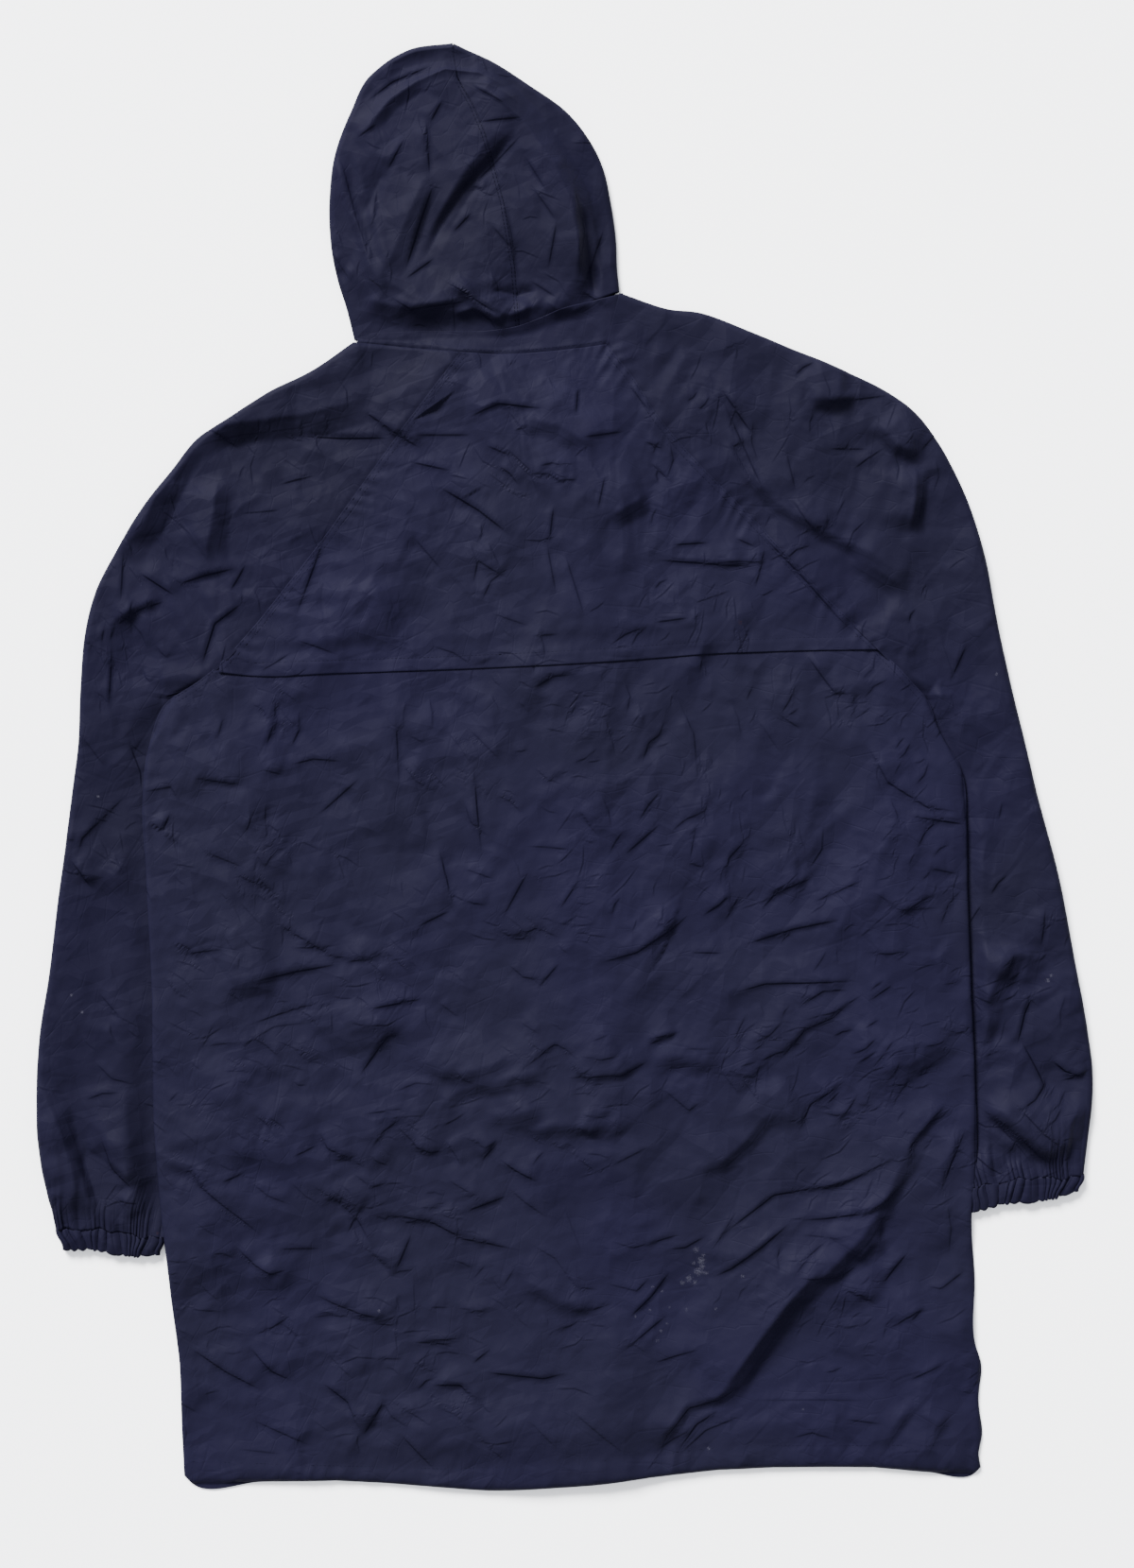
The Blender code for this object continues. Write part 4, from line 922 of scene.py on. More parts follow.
# %% [markdown]
# ## From heights to cloth
#
# A piece of cloth is a closed shell about half a millimetre thick. The side that shows has a point
# every two or three millimetres, because that is what a crisp crease needs. The hidden side has
# half as many points each way, and each one lies under the lowest point around it, so the two
# sides never cross.

# %% Making a mesh from arrays
def build(name, points, triangles, uv=None, marks=None):
    """A smooth-shaded mesh object at the origin, from points in millimetres and triangles. `marks`
    holds pairs of numbers for its first points by name, and each becomes a vector attribute."""
    mesh = bpy.data.meshes.new(name)
    points = np.asarray(points, np.float32) * np.float32(MM)
    triangles = np.asarray(triangles, np.int32)
    mesh.vertices.add(len(points))
    mesh.vertices.foreach_set("co", points.ravel())
    mesh.loops.add(triangles.size)
    mesh.loops.foreach_set("vertex_index", triangles.ravel())
    mesh.polygons.add(len(triangles))
    mesh.polygons.foreach_set("loop_start", np.arange(0, triangles.size, 3, dtype=np.int32))
    mesh.polygons.foreach_set("use_smooth", np.ones(len(triangles), bool))
    mesh.update(calc_edges=True)
    if uv is not None:
        layer = mesh.uv_layers.new(name="cut")
        layer.data.foreach_set("uv", np.asarray(uv, np.float32)[triangles.ravel()].ravel())
    mesh.validate()
    for key, pairs in (marks or {}).items():
        vectors = np.zeros((len(points), 3), np.float32)
        vectors[:pairs.size // 2, :2] = pairs.reshape(-1, 2)
        stored = mesh.attributes.new(key, "FLOAT_VECTOR", "POINT")
        stored.data.foreach_set("vector", vectors.ravel())
    thing = bpy.data.objects.new(name, mesh)
    bpy.context.scene.collection.objects.link(thing)
    return thing


def skin(index):
    """Two triangles for each square of a grid of point numbers, facing up when the grid's columns
    run to the right and its rows run away."""
    a, b, c, d = index[:-1, :-1], index[:-1, 1:], index[1:, 1:], index[1:, :-1]
    first = np.stack([a, b, c], axis=-1).reshape(-1, 3)
    second = np.stack([a, c, d], axis=-1).reshape(-1, 3)
    return np.concatenate([first, second])


def border(index):
    """Point numbers once round the edge of a grid, anticlockwise, back to the first one."""
    return np.concatenate([index[0], index[1:, -1], index[-1, -2::-1], index[-2::-1, 0]])


def rim(fine, coarse):
    """Triangles between a border and a coarser one with half as many steps."""
    a, b, c = fine[0:-2:2], fine[1:-1:2], fine[2::2]
    p, q = coarse[:-1], coarse[1:]
    return np.concatenate([np.stack([p, b, a], 1), np.stack([p, q, b], 1), np.stack([q, c, b], 1)])


def cut_coordinates(middle):
    """Place of each point on the flat cut, in metres: the distance travelled over the cloth across
    the piece, centred, and along it."""
    across = np.linalg.norm(np.diff(middle, axis=1), axis=2)
    across = np.concatenate([np.zeros((len(middle), 1)), np.cumsum(across, axis=1)], axis=1)
    across -= across.mean(axis=1, keepdims=True)
    up = np.linalg.norm(np.diff(middle, axis=0), axis=2).mean(axis=1)
    up = np.concatenate([[0.0], np.cumsum(up)])
    return np.dstack([across, np.broadcast_to(up[:, None], across.shape)]) * MM


def flat_size(middle):
    """Width, length and area of the cut in metres: the longest row, the longest column and the
    area of the cloth, since nylon creases but hardly stretches."""
    across = np.linalg.norm(np.diff(middle, axis=1), axis=2).sum(axis=1).max()
    up = np.linalg.norm(np.diff(middle, axis=0), axis=2).sum(axis=0).max()
    one = np.cross(middle[:-1, 1:] - middle[:-1, :-1], middle[1:, :-1] - middle[:-1, :-1])
    two = np.cross(middle[:-1, 1:] - middle[1:, 1:], middle[1:, :-1] - middle[1:, 1:])
    area = (np.linalg.norm(one, axis=2).sum() + np.linalg.norm(two, axis=2).sum()) / 2
    return across * MM, up * MM, area * MM**2


# %% Shells
def lowest_around(z):
    """The lowest of each value and its eight neighbours."""
    padded = np.pad(z, 1, mode="edge")
    rows, columns = z.shape
    around = [padded[i:i + rows, j:j + columns] for i in range(3) for j in range(3)]
    return np.min(around, axis=0)


def laid_shell(name, middle, marks=None):
    """A closed shell over a height field: the fine side on top, the coarse side below it."""
    index = np.arange(middle[..., 0].size).reshape(middle.shape[:2])
    top = middle + (0, 0, CLOTH / 2)
    under = middle.copy()
    under[..., 2] = lowest_around(middle[..., 2]) - CLOTH / 2
    under = under[::2, ::2]
    below = np.arange(under[..., 0].size).reshape(under.shape[:2]) + index.size
    triangles = [skin(index), skin(below)[:, ::-1], rim(border(index), border(below))]
    uv = cut_coordinates(middle)
    uv = np.concatenate([uv.reshape(-1, 2), uv[::2, ::2].reshape(-1, 2)])
    points = np.concatenate([top.reshape(-1, 3), under.reshape(-1, 3)])
    return build(name, points, np.concatenate(triangles), uv, marks)


def folded_shell(name, middle, outward, thickness=CLOTH, closed=False, marks=None):
    """A closed shell about a bent sheet: each side lies half the thickness from the middle points,
    along the outward directions and against them. A closed one joins up with itself across."""
    rows, columns = middle.shape[:2]
    count = rows * columns
    index = np.arange(count).reshape(rows, columns)
    if closed:
        index = np.concatenate([index, index[:, :1]], axis=1)
        edges = [index[0], index[-1, ::-1]]
    else:
        edges = [border(index)]
    marks = {key: np.concatenate([pairs, pairs]) for key, pairs in (marks or {}).items()}
    triangles = [skin(index), skin(index)[:, ::-1] + count]
    for loop in edges:
        p, q = loop[:-1], loop[1:]
        triangles += [np.stack([p + count, q + count, q], 1), np.stack([p + count, q, p], 1)]
    uv = cut_coordinates(middle).reshape(-1, 2)
    points = np.concatenate([(middle + outward * thickness / 2).reshape(-1, 3),
                             (middle - outward * thickness / 2).reshape(-1, 3)])
    return build(name, points, np.concatenate(triangles), np.concatenate([uv, uv]), marks)


def ride_as_cloth(thing, middle, rests_on, *nodes, slot="nylon_shell", held="laid"):
    width, length, area = flat_size(middle)
    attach(thing, "root")
    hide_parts(*nodes)
    round(min(area, width * length), 4)
    print(thing.name, "triangles", len(thing.data.polygons),
          "cut %.0f x %.0f mm, %.3f m2" % (width * 1000, length * 1000, area))
    return thing


# %% [markdown]
# ## The lower back
#
# One large piece with a turned hem. Its top edge is tucked under the yoke, where nobody sees it.

# %% Lower back
BACK_STEP = 2.6
TUCKED_DEPTH = 40.0


def raised(points, height):
    """Plan points with the height of the cloth at each one as their third number."""
    return np.dstack([points, height(points[..., 0], points[..., 1])])


def raglan_between(side, low, high):
    """Points of a raglan seam between two heights, from the armpit upwards."""
    seam = RAGLAN[side][::-1]
    return seam[(seam[:, 1] > low) & (seam[:, 1] < high)]


def lower_back():
    """The lower back as a grid of middle points, fine where it shows. Its sides run from the hem
    over the armpit to the corners under the yoke."""
    left, right = (
        np.vstack([SIDES[side][:-1], raglan_between(side, -math.inf, top), TUCKED_EDGE[end]])
        for side, top, end in (("left", YOKE_EDGE[0, 1], 0), ("right", YOKE_EDGE[-1, 1] - 12, -1)))
    length = reach_of(left)[-1]
    shown = np.linspace(3.0, length - TUCKED_DEPTH, 277)[:-1]
    hidden = np.linspace(length - TUCKED_DEPTH, length, 6)
    up = np.concatenate([(0.0, 0.8, 1.8), shown, hidden]) / length
    return raised(patch(HEM, TUCKED_EDGE, left, right, spaced(665.0, BACK_STEP), up), back_height)


back_grid = lower_back()
back_lines = crease_lines(back_grid, BACK_CREASES, BACK_SHORT, BACK_THIN)
back_panel = laid_shell("lower_back", back_grid, {"crease": back_lines})
ride_as_cloth(back_panel, back_grid, ["front_left_cloth", "front_right_cloth"], "back_panel")

# %% [markdown]
# ## The yoke and the neck band
#
# The yoke is sewn in at the neck and along both raglan seams. Its lower edge is free, and the
# shadow under it is the straight dark line across the coat. The neck band closes the gap between
# the yoke and the hood.

# %% Yoke
def yoke():
    """The yoke as a grid of middle points between its free edge, the raglan seams and the neck."""
    left, right = (np.vstack([YOKE_EDGE[end], raglan_between(side, lowest, math.inf)])
                   for side, end, lowest in (("left", 0, 84), ("right", -1, 100)))
    points = patch(YOKE_EDGE, NECK_SEAM, left, right, spaced(540.0, 2.0), spaced(285.0, 2.0))
    return raised(points, yoke_height)


def upper_lines(middle):
    """The crease attribute of a grid on the upper part of the coat."""
    return crease_lines(middle, UPPER_CREASES, UPPER_SHORT, UPPER_THIN)


yoke_grid = yoke()
yoke_cloth = laid_shell("yoke", yoke_grid, {"crease": upper_lines(yoke_grid)})
ride_as_cloth(yoke_cloth, yoke_grid, ["lower_back"], "back_yoke")


# %% Neck band
BAND_TUCK = 3.0
LAYER = 0.6


def band_height(x, y):
    """Middle of the neck band's cloth: level with the yoke at its lower edge and with the hood at
    its upper edge. It goes one layer under the yoke and one layer over the hood."""
    low, high = y_on(BAND_LOWER, x), y_on(BAND_UPPER, x)
    share = smooth((y - low) / np.maximum(high - low, 3.0))
    on_sleeve = smooth((RAGLAN["left"][0, 0] - x) / 40)
    wide = 2.0 + 4.0 * np.maximum(on_sleeve, share)
    shown = np.vstack([BAND_LOWER, BAND_UPPER[::-1]])
    under = 1 - smooth((depth_inside(x, y, shown) + 0.8) / wide)
    fold = 3.0 * (1 - smooth((x + 175) / 35))
    lower_level = yoke_height(x, y) - YOKE_RISE * on_sleeve + fold
    level = (1 - share) * lower_level + share * hood_height(x, y)
    return level + LAYER * (2 * share - 1) * under


def neck_band():
    """The band as a grid of middle points. It reaches a few millimetres under the yoke and the
    sleeves and over the hood."""
    lower, upper = BAND_LOWER - (0, BAND_TUCK), BAND_UPPER + (0, BAND_TUCK + 1.5)
    lower[-1, 0] += 6
    upper[-1, 0] += 14
    left, right = (np.vstack([lower[end], upper[end]]) for end in (0, -1))
    points = patch(lower, upper, left, right, spaced(200.0, 1.5), spaced(28.0, 1.2, (0.0, 0.8)))
    return raised(points, band_height)


band_grid = neck_band()
ride_as_cloth(laid_shell("neck_band_cloth", band_grid), band_grid, ["yoke"], "neck_band")

# %% [markdown]
# ## Sleeves and hood: sheets folded round an edge
#
# A sleeve is one piece of cloth folded along the outside of the arm, and so is each half of the
# hood at its laid edge. The section is flat on the surface, goes round the fold in half an
# ellipse and comes back on top with the creases. Near a cuff the elastic draws the sleeve into
# pleats that fan out and die away.

# %% Folded sheets
SEAM_TUCK = 2.6
FOLD_ANGLES = np.radians((-72.0, -45.0, -20.0, 5.0, 30.0, 55.0, 78.0))
UNDERSIDE = 2.0


def surface_normals(middle):
    """Unit directions square to a grid of points: the cross product of its two slopes."""
    return unit(np.cross(np.gradient(middle, axis=1), np.gradient(middle, axis=0)))


def folded_grid(outer, upper, lower, height, upper_steps, lower_steps):
    """Middle points and outward directions of a sheet folded round the line `outer`. `height`
    takes x, y, the distance from the upper edge and the distance from the fold."""
    travel = np.gradient(outer, axis=0)
    normal = unit(np.stack([travel[:, 1], -travel[:, 0]], axis=1))
    across = unit(outer - upper)
    normal *= np.sign(np.sum(normal * across, axis=1))[:, None]
    normal[[0, -1]] = across[[0, -1]]
    crest = outer - normal * CLOTH / 2
    fold_start = crest - normal * FOLD_DEPTH
    width = np.linalg.norm(fold_start - upper, axis=1)[:, None]

    a = upper_steps[None, ::-1]
    top = upper[:, None] + (fold_start - upper)[:, None] * a[..., None]
    top_z = height(top[..., 0], top[..., 1], a * width, (1 - a) * width)
    rise = (top_z[:, :1] - FLOOR_PLY) / 2

    under = lower[:, None] + (fold_start - lower)[:, None] * lower_steps[None, :, None]
    inwards = FOLD_DEPTH * (1 - np.cos(FOLD_ANGLES))[None, :, None]
    middle = np.concatenate([
        np.dstack([under, np.full(under.shape[:2], FLOOR_PLY)]),
        np.dstack([crest[:, None] - normal[:, None] * inwards,
                   FLOOR_PLY + rise * (1 + np.sin(FOLD_ANGLES))]),
        np.dstack([top, top_z]),
    ], axis=1)
    return middle, surface_normals(middle)


def shown_only(lines, middle):
    """Numbers for the shader with their strength set to 0 on the hidden side of a folded sheet."""
    lines[middle[..., 2] < UNDERSIDE, 1] = 0.0
    return lines


# %% Gathers above a cuff
LOBES = 13
FINE_PLEATS = 1.7
CASING_LEVEL = 6.2


def gather_phase(share):
    """Number of gathers up to each share of the way across a cuff, at uneven spacing."""
    return LOBES * share + 0.5 * np.sin(7 * share + 1) + 0.3 * np.sin(17 * share)


def lobes(share):
    """Height of the gathers, from 0 to 1: the root of half a sine, so that they are round on top
    and meet in sharp pinches."""
    size = 0.7 + 0.3 * np.sin(11 * share + 2) * np.sin(29 * share)
    return size * np.sqrt(np.abs(np.sin(math.pi * gather_phase(share))))


def cuff_axis(side):
    """First corner of a cuff's seam, the direction across the cuff and the seam's width."""
    near = np.array(CUFFS[side][0])
    return near[0], unit(near[1] - near[0]), np.linalg.norm(near[1] - near[0])


def above_cuff(side, x, y):
    """For each x, y: the distance above the cuff's seam, and the share of the way across it of the
    pleat that passes there. The pleats fan out because the sleeve is wider than its cuff."""
    corner, direction, width = cuff_axis(side)
    reach_x, reach_y = x - corner[0], y - corner[1]
    share = (reach_x * direction[0] + reach_y * direction[1]) / width
    above = np.maximum(-reach_x * direction[1] + reach_y * direction[0], 0.0)
    return above, 0.5 + (share - 0.5) / (1 + 0.0032 * above) + 0.012 * np.sin(above / 9)


def gather_fade(above, share):
    """How strong the pleats still are at a distance above the seam, at uneven lengths."""
    longest = 17 + 16 * np.sin(5 * share + 0.6)**2 + 13 * np.sin(13 * share + 2)**2
    return np.exp(-(above / longest)**2)


def seam_wave(share):
    """How far the elastic pulls the seam above a cuff out of line, across the cuff."""
    return 1.5 * np.sin(8 * share + 1) + 1.1 * np.sin(23 * share + 2) + 0.6 * np.sin(41 * share)


def cuff_gathers(side, x, y):
    """Pleats that rise just above the cuff's seam and run out above it."""
    above, share = above_cuff(side, x, y)
    pleat = lobes(share) * smooth((above + 2) / 7) * gather_fade(above, share)
    return 3.6 * (0.55 + 0.45 * np.sin(8 * share + 1)) * pleat


def pleat_lines(side, middle):
    """For the shader: the phase of the finest pleats above a cuff, and their strength."""
    above, share = above_cuff(side, middle[..., 0], middle[..., 1])
    fade = gather_fade(1.8 * above, share) * (0.15 + 0.85 * np.sin(9 * share + 1)**2)
    return np.stack([FINE_PLEATS * gather_phase(share), fade], axis=-1)


# %% Sleeves
def sleeve_grid(side):
    """One sleeve, folded at the outside of the arm, with sections about every 2.45 mm. The elastic
    pulls its end over the casing, further in some places than in others."""
    sleeve = SLEEVES[side]
    rows, sign = sleeve["rows"], sleeve["side"]
    step = 2.45
    count = int(reach_of(rows[:, OUTER])[-1] / step)
    sections = along(rows, spaced(count * step, step))
    outer, back = sections[:, OUTER], sections[:, UPPER]
    back = back + SEAM_TUCK * unit(back - outer)
    armpit_y = rows[sleeve["armpit"], 3]
    seam_rise = np.where(sections[:, 3:4] > armpit_y, YOKE_RISE, 0.0)

    def height(x, y, from_upper, from_fold):
        seam = seam_rise * (1 - smooth(from_upper / 40))
        clear_of_body = smooth(((x - side_x(side, y)) * sign - 1) / sleeve["slope"])
        share = np.maximum(clear_of_body, smooth((y - armpit_y) / 20))
        fold = 3.0 * (1 - smooth(from_fold / 35))
        relief = upper_relief(x, y) + cuff_gathers(side, x, y)
        dip = 0.8 * (1.0 - smooth((from_upper - 1.0) / 6.0))
        free = SECOND_PLY + seam + fold + share * (relief + raglan_relief(x, y)) - dip
        above, at_cuff = above_cuff(side, x, y)
        casing = CASING_LEVEL + 2.5 * lobes(at_cuff)
        blend = 15 + 24 * np.sin(4.2 * at_cuff + 0.8)**2
        return casing + (free - casing) * smooth((above + 2) / blend)

    middle, outward = folded_grid(outer, back, sections[:, LOWER], height, spaced(120.0, 1.6),
                                  np.linspace(0, 1, 14)[:-1])
    direction = cuff_axis(side)[1]
    above, share = above_cuff(side, middle[..., 0], middle[..., 1])
    pulled = (1.3 + seam_wave(share)) * (1 - smooth(above / 16))
    middle[..., :2] += pulled[..., None] * (direction[1], -direction[0])
    return middle, outward


for side in SLEEVES:
    grid, outward = sleeve_grid(side)
    marks = {"crease": shown_only(upper_lines(grid), grid),
             "pleat": shown_only(pleat_lines(side, grid), grid)}
    ride_as_cloth(folded_shell(f"sleeve_{side}_cloth", grid, outward, marks=marks), grid,
                  ["front_left_cloth"], f"sleeve_{side}")


# %% Hood halves
# How far each half reaches past the centre seam. The one with the minus goes underneath.
HOOD_TUCK = {"left": -2.4, "right": 0.3}


def hood_grid(side):
    """One half of the hood, folded under round the edge of the laid hood."""
    sections = along(HOOD[side], spaced(320.0, 2.2))
    outer, seam, tuck = sections[:, OUTER], sections[:, UPPER], HOOD_TUCK[side]

    def height(x, y, from_upper, from_fold):
        dip = 0.0 if tuck > 0 else 0.6 * (1 - smooth((from_upper + tuck - 0.5) / 7.0))
        return hood_height(x, y) - dip

    return folded_grid(outer, seam + abs(tuck) * unit(seam - outer), sections[:, LOWER], height,
                       spaced(120.0, 1.9), np.linspace(0, 1, 22)[:-1])


for side in HOOD:
    grid, outward = hood_grid(side)
    marks = {"crease": shown_only(crease_lines(grid, HOOD_CREASES, HOOD_THIN), grid)}
    ride_as_cloth(folded_shell(f"hood_{side}_cloth", grid, outward, marks=marks), grid,
                  ["neck_band_cloth"], f"hood_{side}")

# %% [markdown]
# ## Fronts and studs
#
# The fronts lie face down on the surface and are seen only from below. The left one laps over the
# right one, and six press studs hold them shut.

# %% Fronts
def front_grid(side):
    """One front as a grid of middle points, lifted over the sleeve's strip and at the closure."""
    own = -SLEEVES[side]["side"]
    outer_edge = np.vstack([SIDES[side][:-1], raglan(side, LOWER, 20)[::-1]])
    lap_y = np.linspace(-589, 275, 12)
    lap_edge = np.stack([lap_centre(lap_y) + own * LAP_HALF, lap_y], axis=1)
    lap_edge[0, 1] = y_on(HEM, lap_edge[0, 0])
    neck = np.vstack([outer_edge[-1:], NECK_CORNER[side], lap_edge[-1:]])
    hem = HEM[(HEM[:, 0] - lap_edge[0, 0]) * own < -5][::own]
    hem = np.vstack([hem, lap_edge[:1]])
    points = patch(hem, neck, outer_edge, lap_edge, spaced(330.0, 3.6), spaced(920.0, 5.6))
    x, y = points[..., 0], points[..., 1]
    strip = FRONT_OVER_SLEEVE * over_sleeves(x, y, 0.0)
    lap_rise, flat = (STUD_RISE, LAP_HALF + 2) if side == "left" else (LAP_RISE, LAP_HALF + 7)
    lift = np.maximum(strip, lap_rise * over_lap(x, y, flat, 34.0))
    from_side = (x - side_x(side, y)) * own
    creased = 0.45 * np.minimum(crumple(x, y, 83), 2.0) * smooth(from_side / 12)
    z = FLOOR_PLY + lift + creased + rolled(np.maximum(from_side, 0), 0.5, 3.0)
    return np.dstack([points, z])[:, ::own]


for side in SLEEVES:
    grid = front_grid(side)
    ride_as_cloth(laid_shell(f"front_{side}_cloth", grid), grid, [], f"front_{side}")


# %% Press studs
# Radius and height of each point from the bottom to the top, on the axis at both ends.
STUD_PROFILE = ((0.0, 0.12), (2.6, 0.05), (4.4, 0.0), (5.6, 0.1), (6.3, 0.45), (6.5, 0.85),
                (6.3, 1.3), (5.6, 1.5), (0.0, 1.5))


def turned(profile, steps):
    """Points and triangles of a profile turned about the Z axis: each point of the profile is
    carried round in equal steps, and its two ends on the axis are one point each."""
    profile = np.array(profile)
    turn = np.linspace(0, 2 * math.pi, steps + 1)[:-1]
    radius, height = profile[1:-1, :1], profile[1:-1, 1:]
    rings = np.dstack([radius * np.cos(turn), radius * np.sin(turn), height + 0 * turn])
    tips = [(0, 0, profile[0, 1]), (0, 0, profile[-1, 1])]
    index = np.arange(radius.size * steps).reshape(-1, steps)
    index = np.concatenate([index, index[:, :1]], axis=1)
    low, high, tip = index[0], index[-1], np.full(steps, radius.size * steps)
    fans = [np.stack([low[1:], low[:-1], tip], 1), np.stack([high[:-1], high[1:], tip + 1], 1)]
    return np.concatenate([rings.reshape(-1, 3), tips]), np.concatenate([skin(index), *fans])


for number in range(1, 7):
    low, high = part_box(f"stud_{number}")
    points, triangles = turned(STUD_PROFILE, 28)
    points[:, :2] += np.array((low.x + high.x, low.y + high.y)) / (2 * MM)
    cap = build(f"stud_cap_{number}", points, triangles)
    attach(cap, "root")
    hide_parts(f"stud_{number}")
print("studs:", number, "triangles each:", len(triangles))

# %% [markdown]
# ## Cuffs
#
# Each sleeve ends in a casing with elastic in it. Slack cloth stands up in round lobes with sharp
# pinches between them, and the lower edge is scalloped because each lobe also bulges outwards.

# %% Cuff casings
CASING_WALL = 1.2
CASING_RADIUS = 2.2
TOP_STEPS = 171
END_STEPS = 9
LOW_STEPS = 40


def cuff_grid(side):
    """A flat closed tube from the sleeve's end to the casing's edge. Round the tube the section is
    a top, a round end, a bottom and a round end, and the lobes raise the top."""
    near, far = (np.array(corners) for corners in CUFFS[side])
    bow = np.radians(np.linspace(80, -80, END_STEPS))
    share = np.concatenate([np.linspace(0, 1, TOP_STEPS), np.ones(END_STEPS),
                            np.linspace(1, 0, LOW_STEPS), np.zeros(END_STEPS)])
    out = np.concatenate([np.zeros(TOP_STEPS), np.cos(bow), np.zeros(LOW_STEPS), -np.cos(bow)])
    lift = np.concatenate([np.ones(TOP_STEPS), np.sin(bow), -np.ones(LOW_STEPS), np.sin(-bow)])
    rows = []
    for v in np.linspace(0, 1, 13):
        bulge = 1.3 * math.sin(math.pi * (0.1 + 1.7 * v)) * np.array((-0.9, 1.0))
        corners = near + (far - near) * v + bulge[:, None] * unit(near[1] - near[0])
        width, direction = np.linalg.norm(corners[1] - corners[0]), unit(corners[1] - corners[0])
        slid = share + 0.05 * np.sin(13 * share + 3) * v
        fine = np.sqrt(np.abs(np.sin(math.pi * FINE_PLEATS * gather_phase(slid))))
        lobe = lobes(slid) * (0.72 + 0.28 * fine)
        swelling = 3.2 * math.sin(math.pi * (0.24 + 0.7 * v)) + 0.3
        up = 0.7 + CASING_RADIUS * (1 + lift) + np.clip(lift, 0, 1) * (0.5 + swelling * lobe)
        inner = CASING_RADIUS + (width - 2 * CASING_RADIUS) * share + CASING_RADIUS * out
        scallop = v**2 * (3.0 * lobe - 1.8 + 1.2 * np.sin(9 * share + 2))
        scallop = scallop + (1 - v)**2 * seam_wave(share)
        across = (corners[0] + inner[:, None] * direction
                  + scallop[:, None] * (direction[1], -direction[0]))
        rows.append(np.column_stack([across, up]))
    return np.array(rows)


for side in SLEEVES:
    grid = cuff_grid(side)
    wrapped = np.concatenate([grid[:, -1:], grid, grid[:, :1]], axis=1)
    outward = surface_normals(wrapped)[:, 1:-1]
    thing = folded_shell(f"cuff_{side}_casing", grid, outward, CASING_WALL, closed=True)
    ride_as_cloth(thing, grid, [f"sleeve_{side}_cloth"], f"cuff_{side}",
                  slot="nylon_casing", held="gathered")

# %% [markdown]
# ## Stitches
#
# Topstitching is real thread, so every stitch is a small capsule lying in its groove. All stitches
# of a row share one capsule's points, turned along the seam and set at the cloth's height.

# %% Stitch rows
STITCH_PITCH = 3.3
STITCH_LENGTH = 2.4
STITCH_RADIUS = 0.17
STITCH_SUNK = 0.03
# Radius and place along a stitch as shares of its radius and length.
STITCH_PROFILE = np.array(((0, -0.5), (0.6, -0.46), (1, -0.3), (1, 0.3), (0.6, 0.46), (0, 0.5)))


def stitches(name, rows, seed):
    """One object for a seam, whose rows are pairs of a plan line and the height function of its
    cloth. Each stitch is a turned profile laid along the line, along its slope and upright."""
    shape, faces = turned(STITCH_PROFILE * (STITCH_RADIUS, STITCH_LENGTH), 6)
    draw = np.random.default_rng(seed)
    points = []
    for line, height in rows:
        reach = reach_of(line)
        at = np.arange(STITCH_PITCH, reach[-1] - STITCH_PITCH, STITCH_PITCH)
        at = at + draw.uniform(-0.15, 0.15, len(at))
        here, after, before = (np.stack([np.interp(at + step, reach, line[:, axis])
                                         for axis in (0, 1)], axis=1) for step in (0, 1, -1))
        heading = unit(after - before)
        steep = (height(*(here + heading).T) - height(*(here - heading).T)) / 2
        ahead = unit(np.column_stack([heading, steep]))
        beside = np.column_stack([-heading[:, 1], heading[:, 0], 0 * at])
        axes = np.stack([beside, np.cross(ahead, beside), ahead], axis=1)
        centre = np.column_stack([here, height(*here.T) + CLOTH / 2 - STITCH_SUNK])
        points.append(centre[:, None] + shape @ axes)
    points = np.concatenate(points)
    triangles = faces + len(shape) * np.arange(len(points))[:, None, None]
    thing = build(name, points.reshape(-1, 3), triangles.reshape(-1, 3))
    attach(thing, "root")
    print(name, "stitches", len(points))


def sewn_height(x, y):
    """Height of the body on its own side of a raglan seam: yoke above, lower back below."""
    return np.where(y > y_on(YOKE_EDGE, x), yoke_height(x, y), back_height(x, y))


def rows_beside(line, distances, height):
    """Plan lines to the left of a line, one at each distance, with the height they follow."""
    slope = unit(np.gradient(line, axis=0))
    left = np.stack([-slope[:, 1], slope[:, 0]], axis=1)
    return [(line + distance * left, height) for distance in distances]


stitches("raglan_stitches", rows_beside(RAGLAN["left"], STITCH_ROWS, sewn_height)
         + rows_beside(RAGLAN["right"][::-1], STITCH_ROWS, sewn_height), 1)
stitches("yoke_hem_stitches", [(YOKE_STITCH, yoke_height)], 2)
stitches("hem_stitches", [(HEM_STITCH, back_height), (CASING_JOIN, back_height)], 3)
stitches("neck_stitches", rows_beside(BAND_LOWER[2:], (1.6,), band_height), 4)
stitches("hood_stitches", rows_beside(HOOD_SEAM, HOOD_ROWS, hood_height), 5)

# %% [markdown]
# ## Shader maths as Python
#
# Node sockets get Python's operators, so that a formula reads as a formula. One method makes every
# other node: its type, its settings, then its linked or constant inputs.

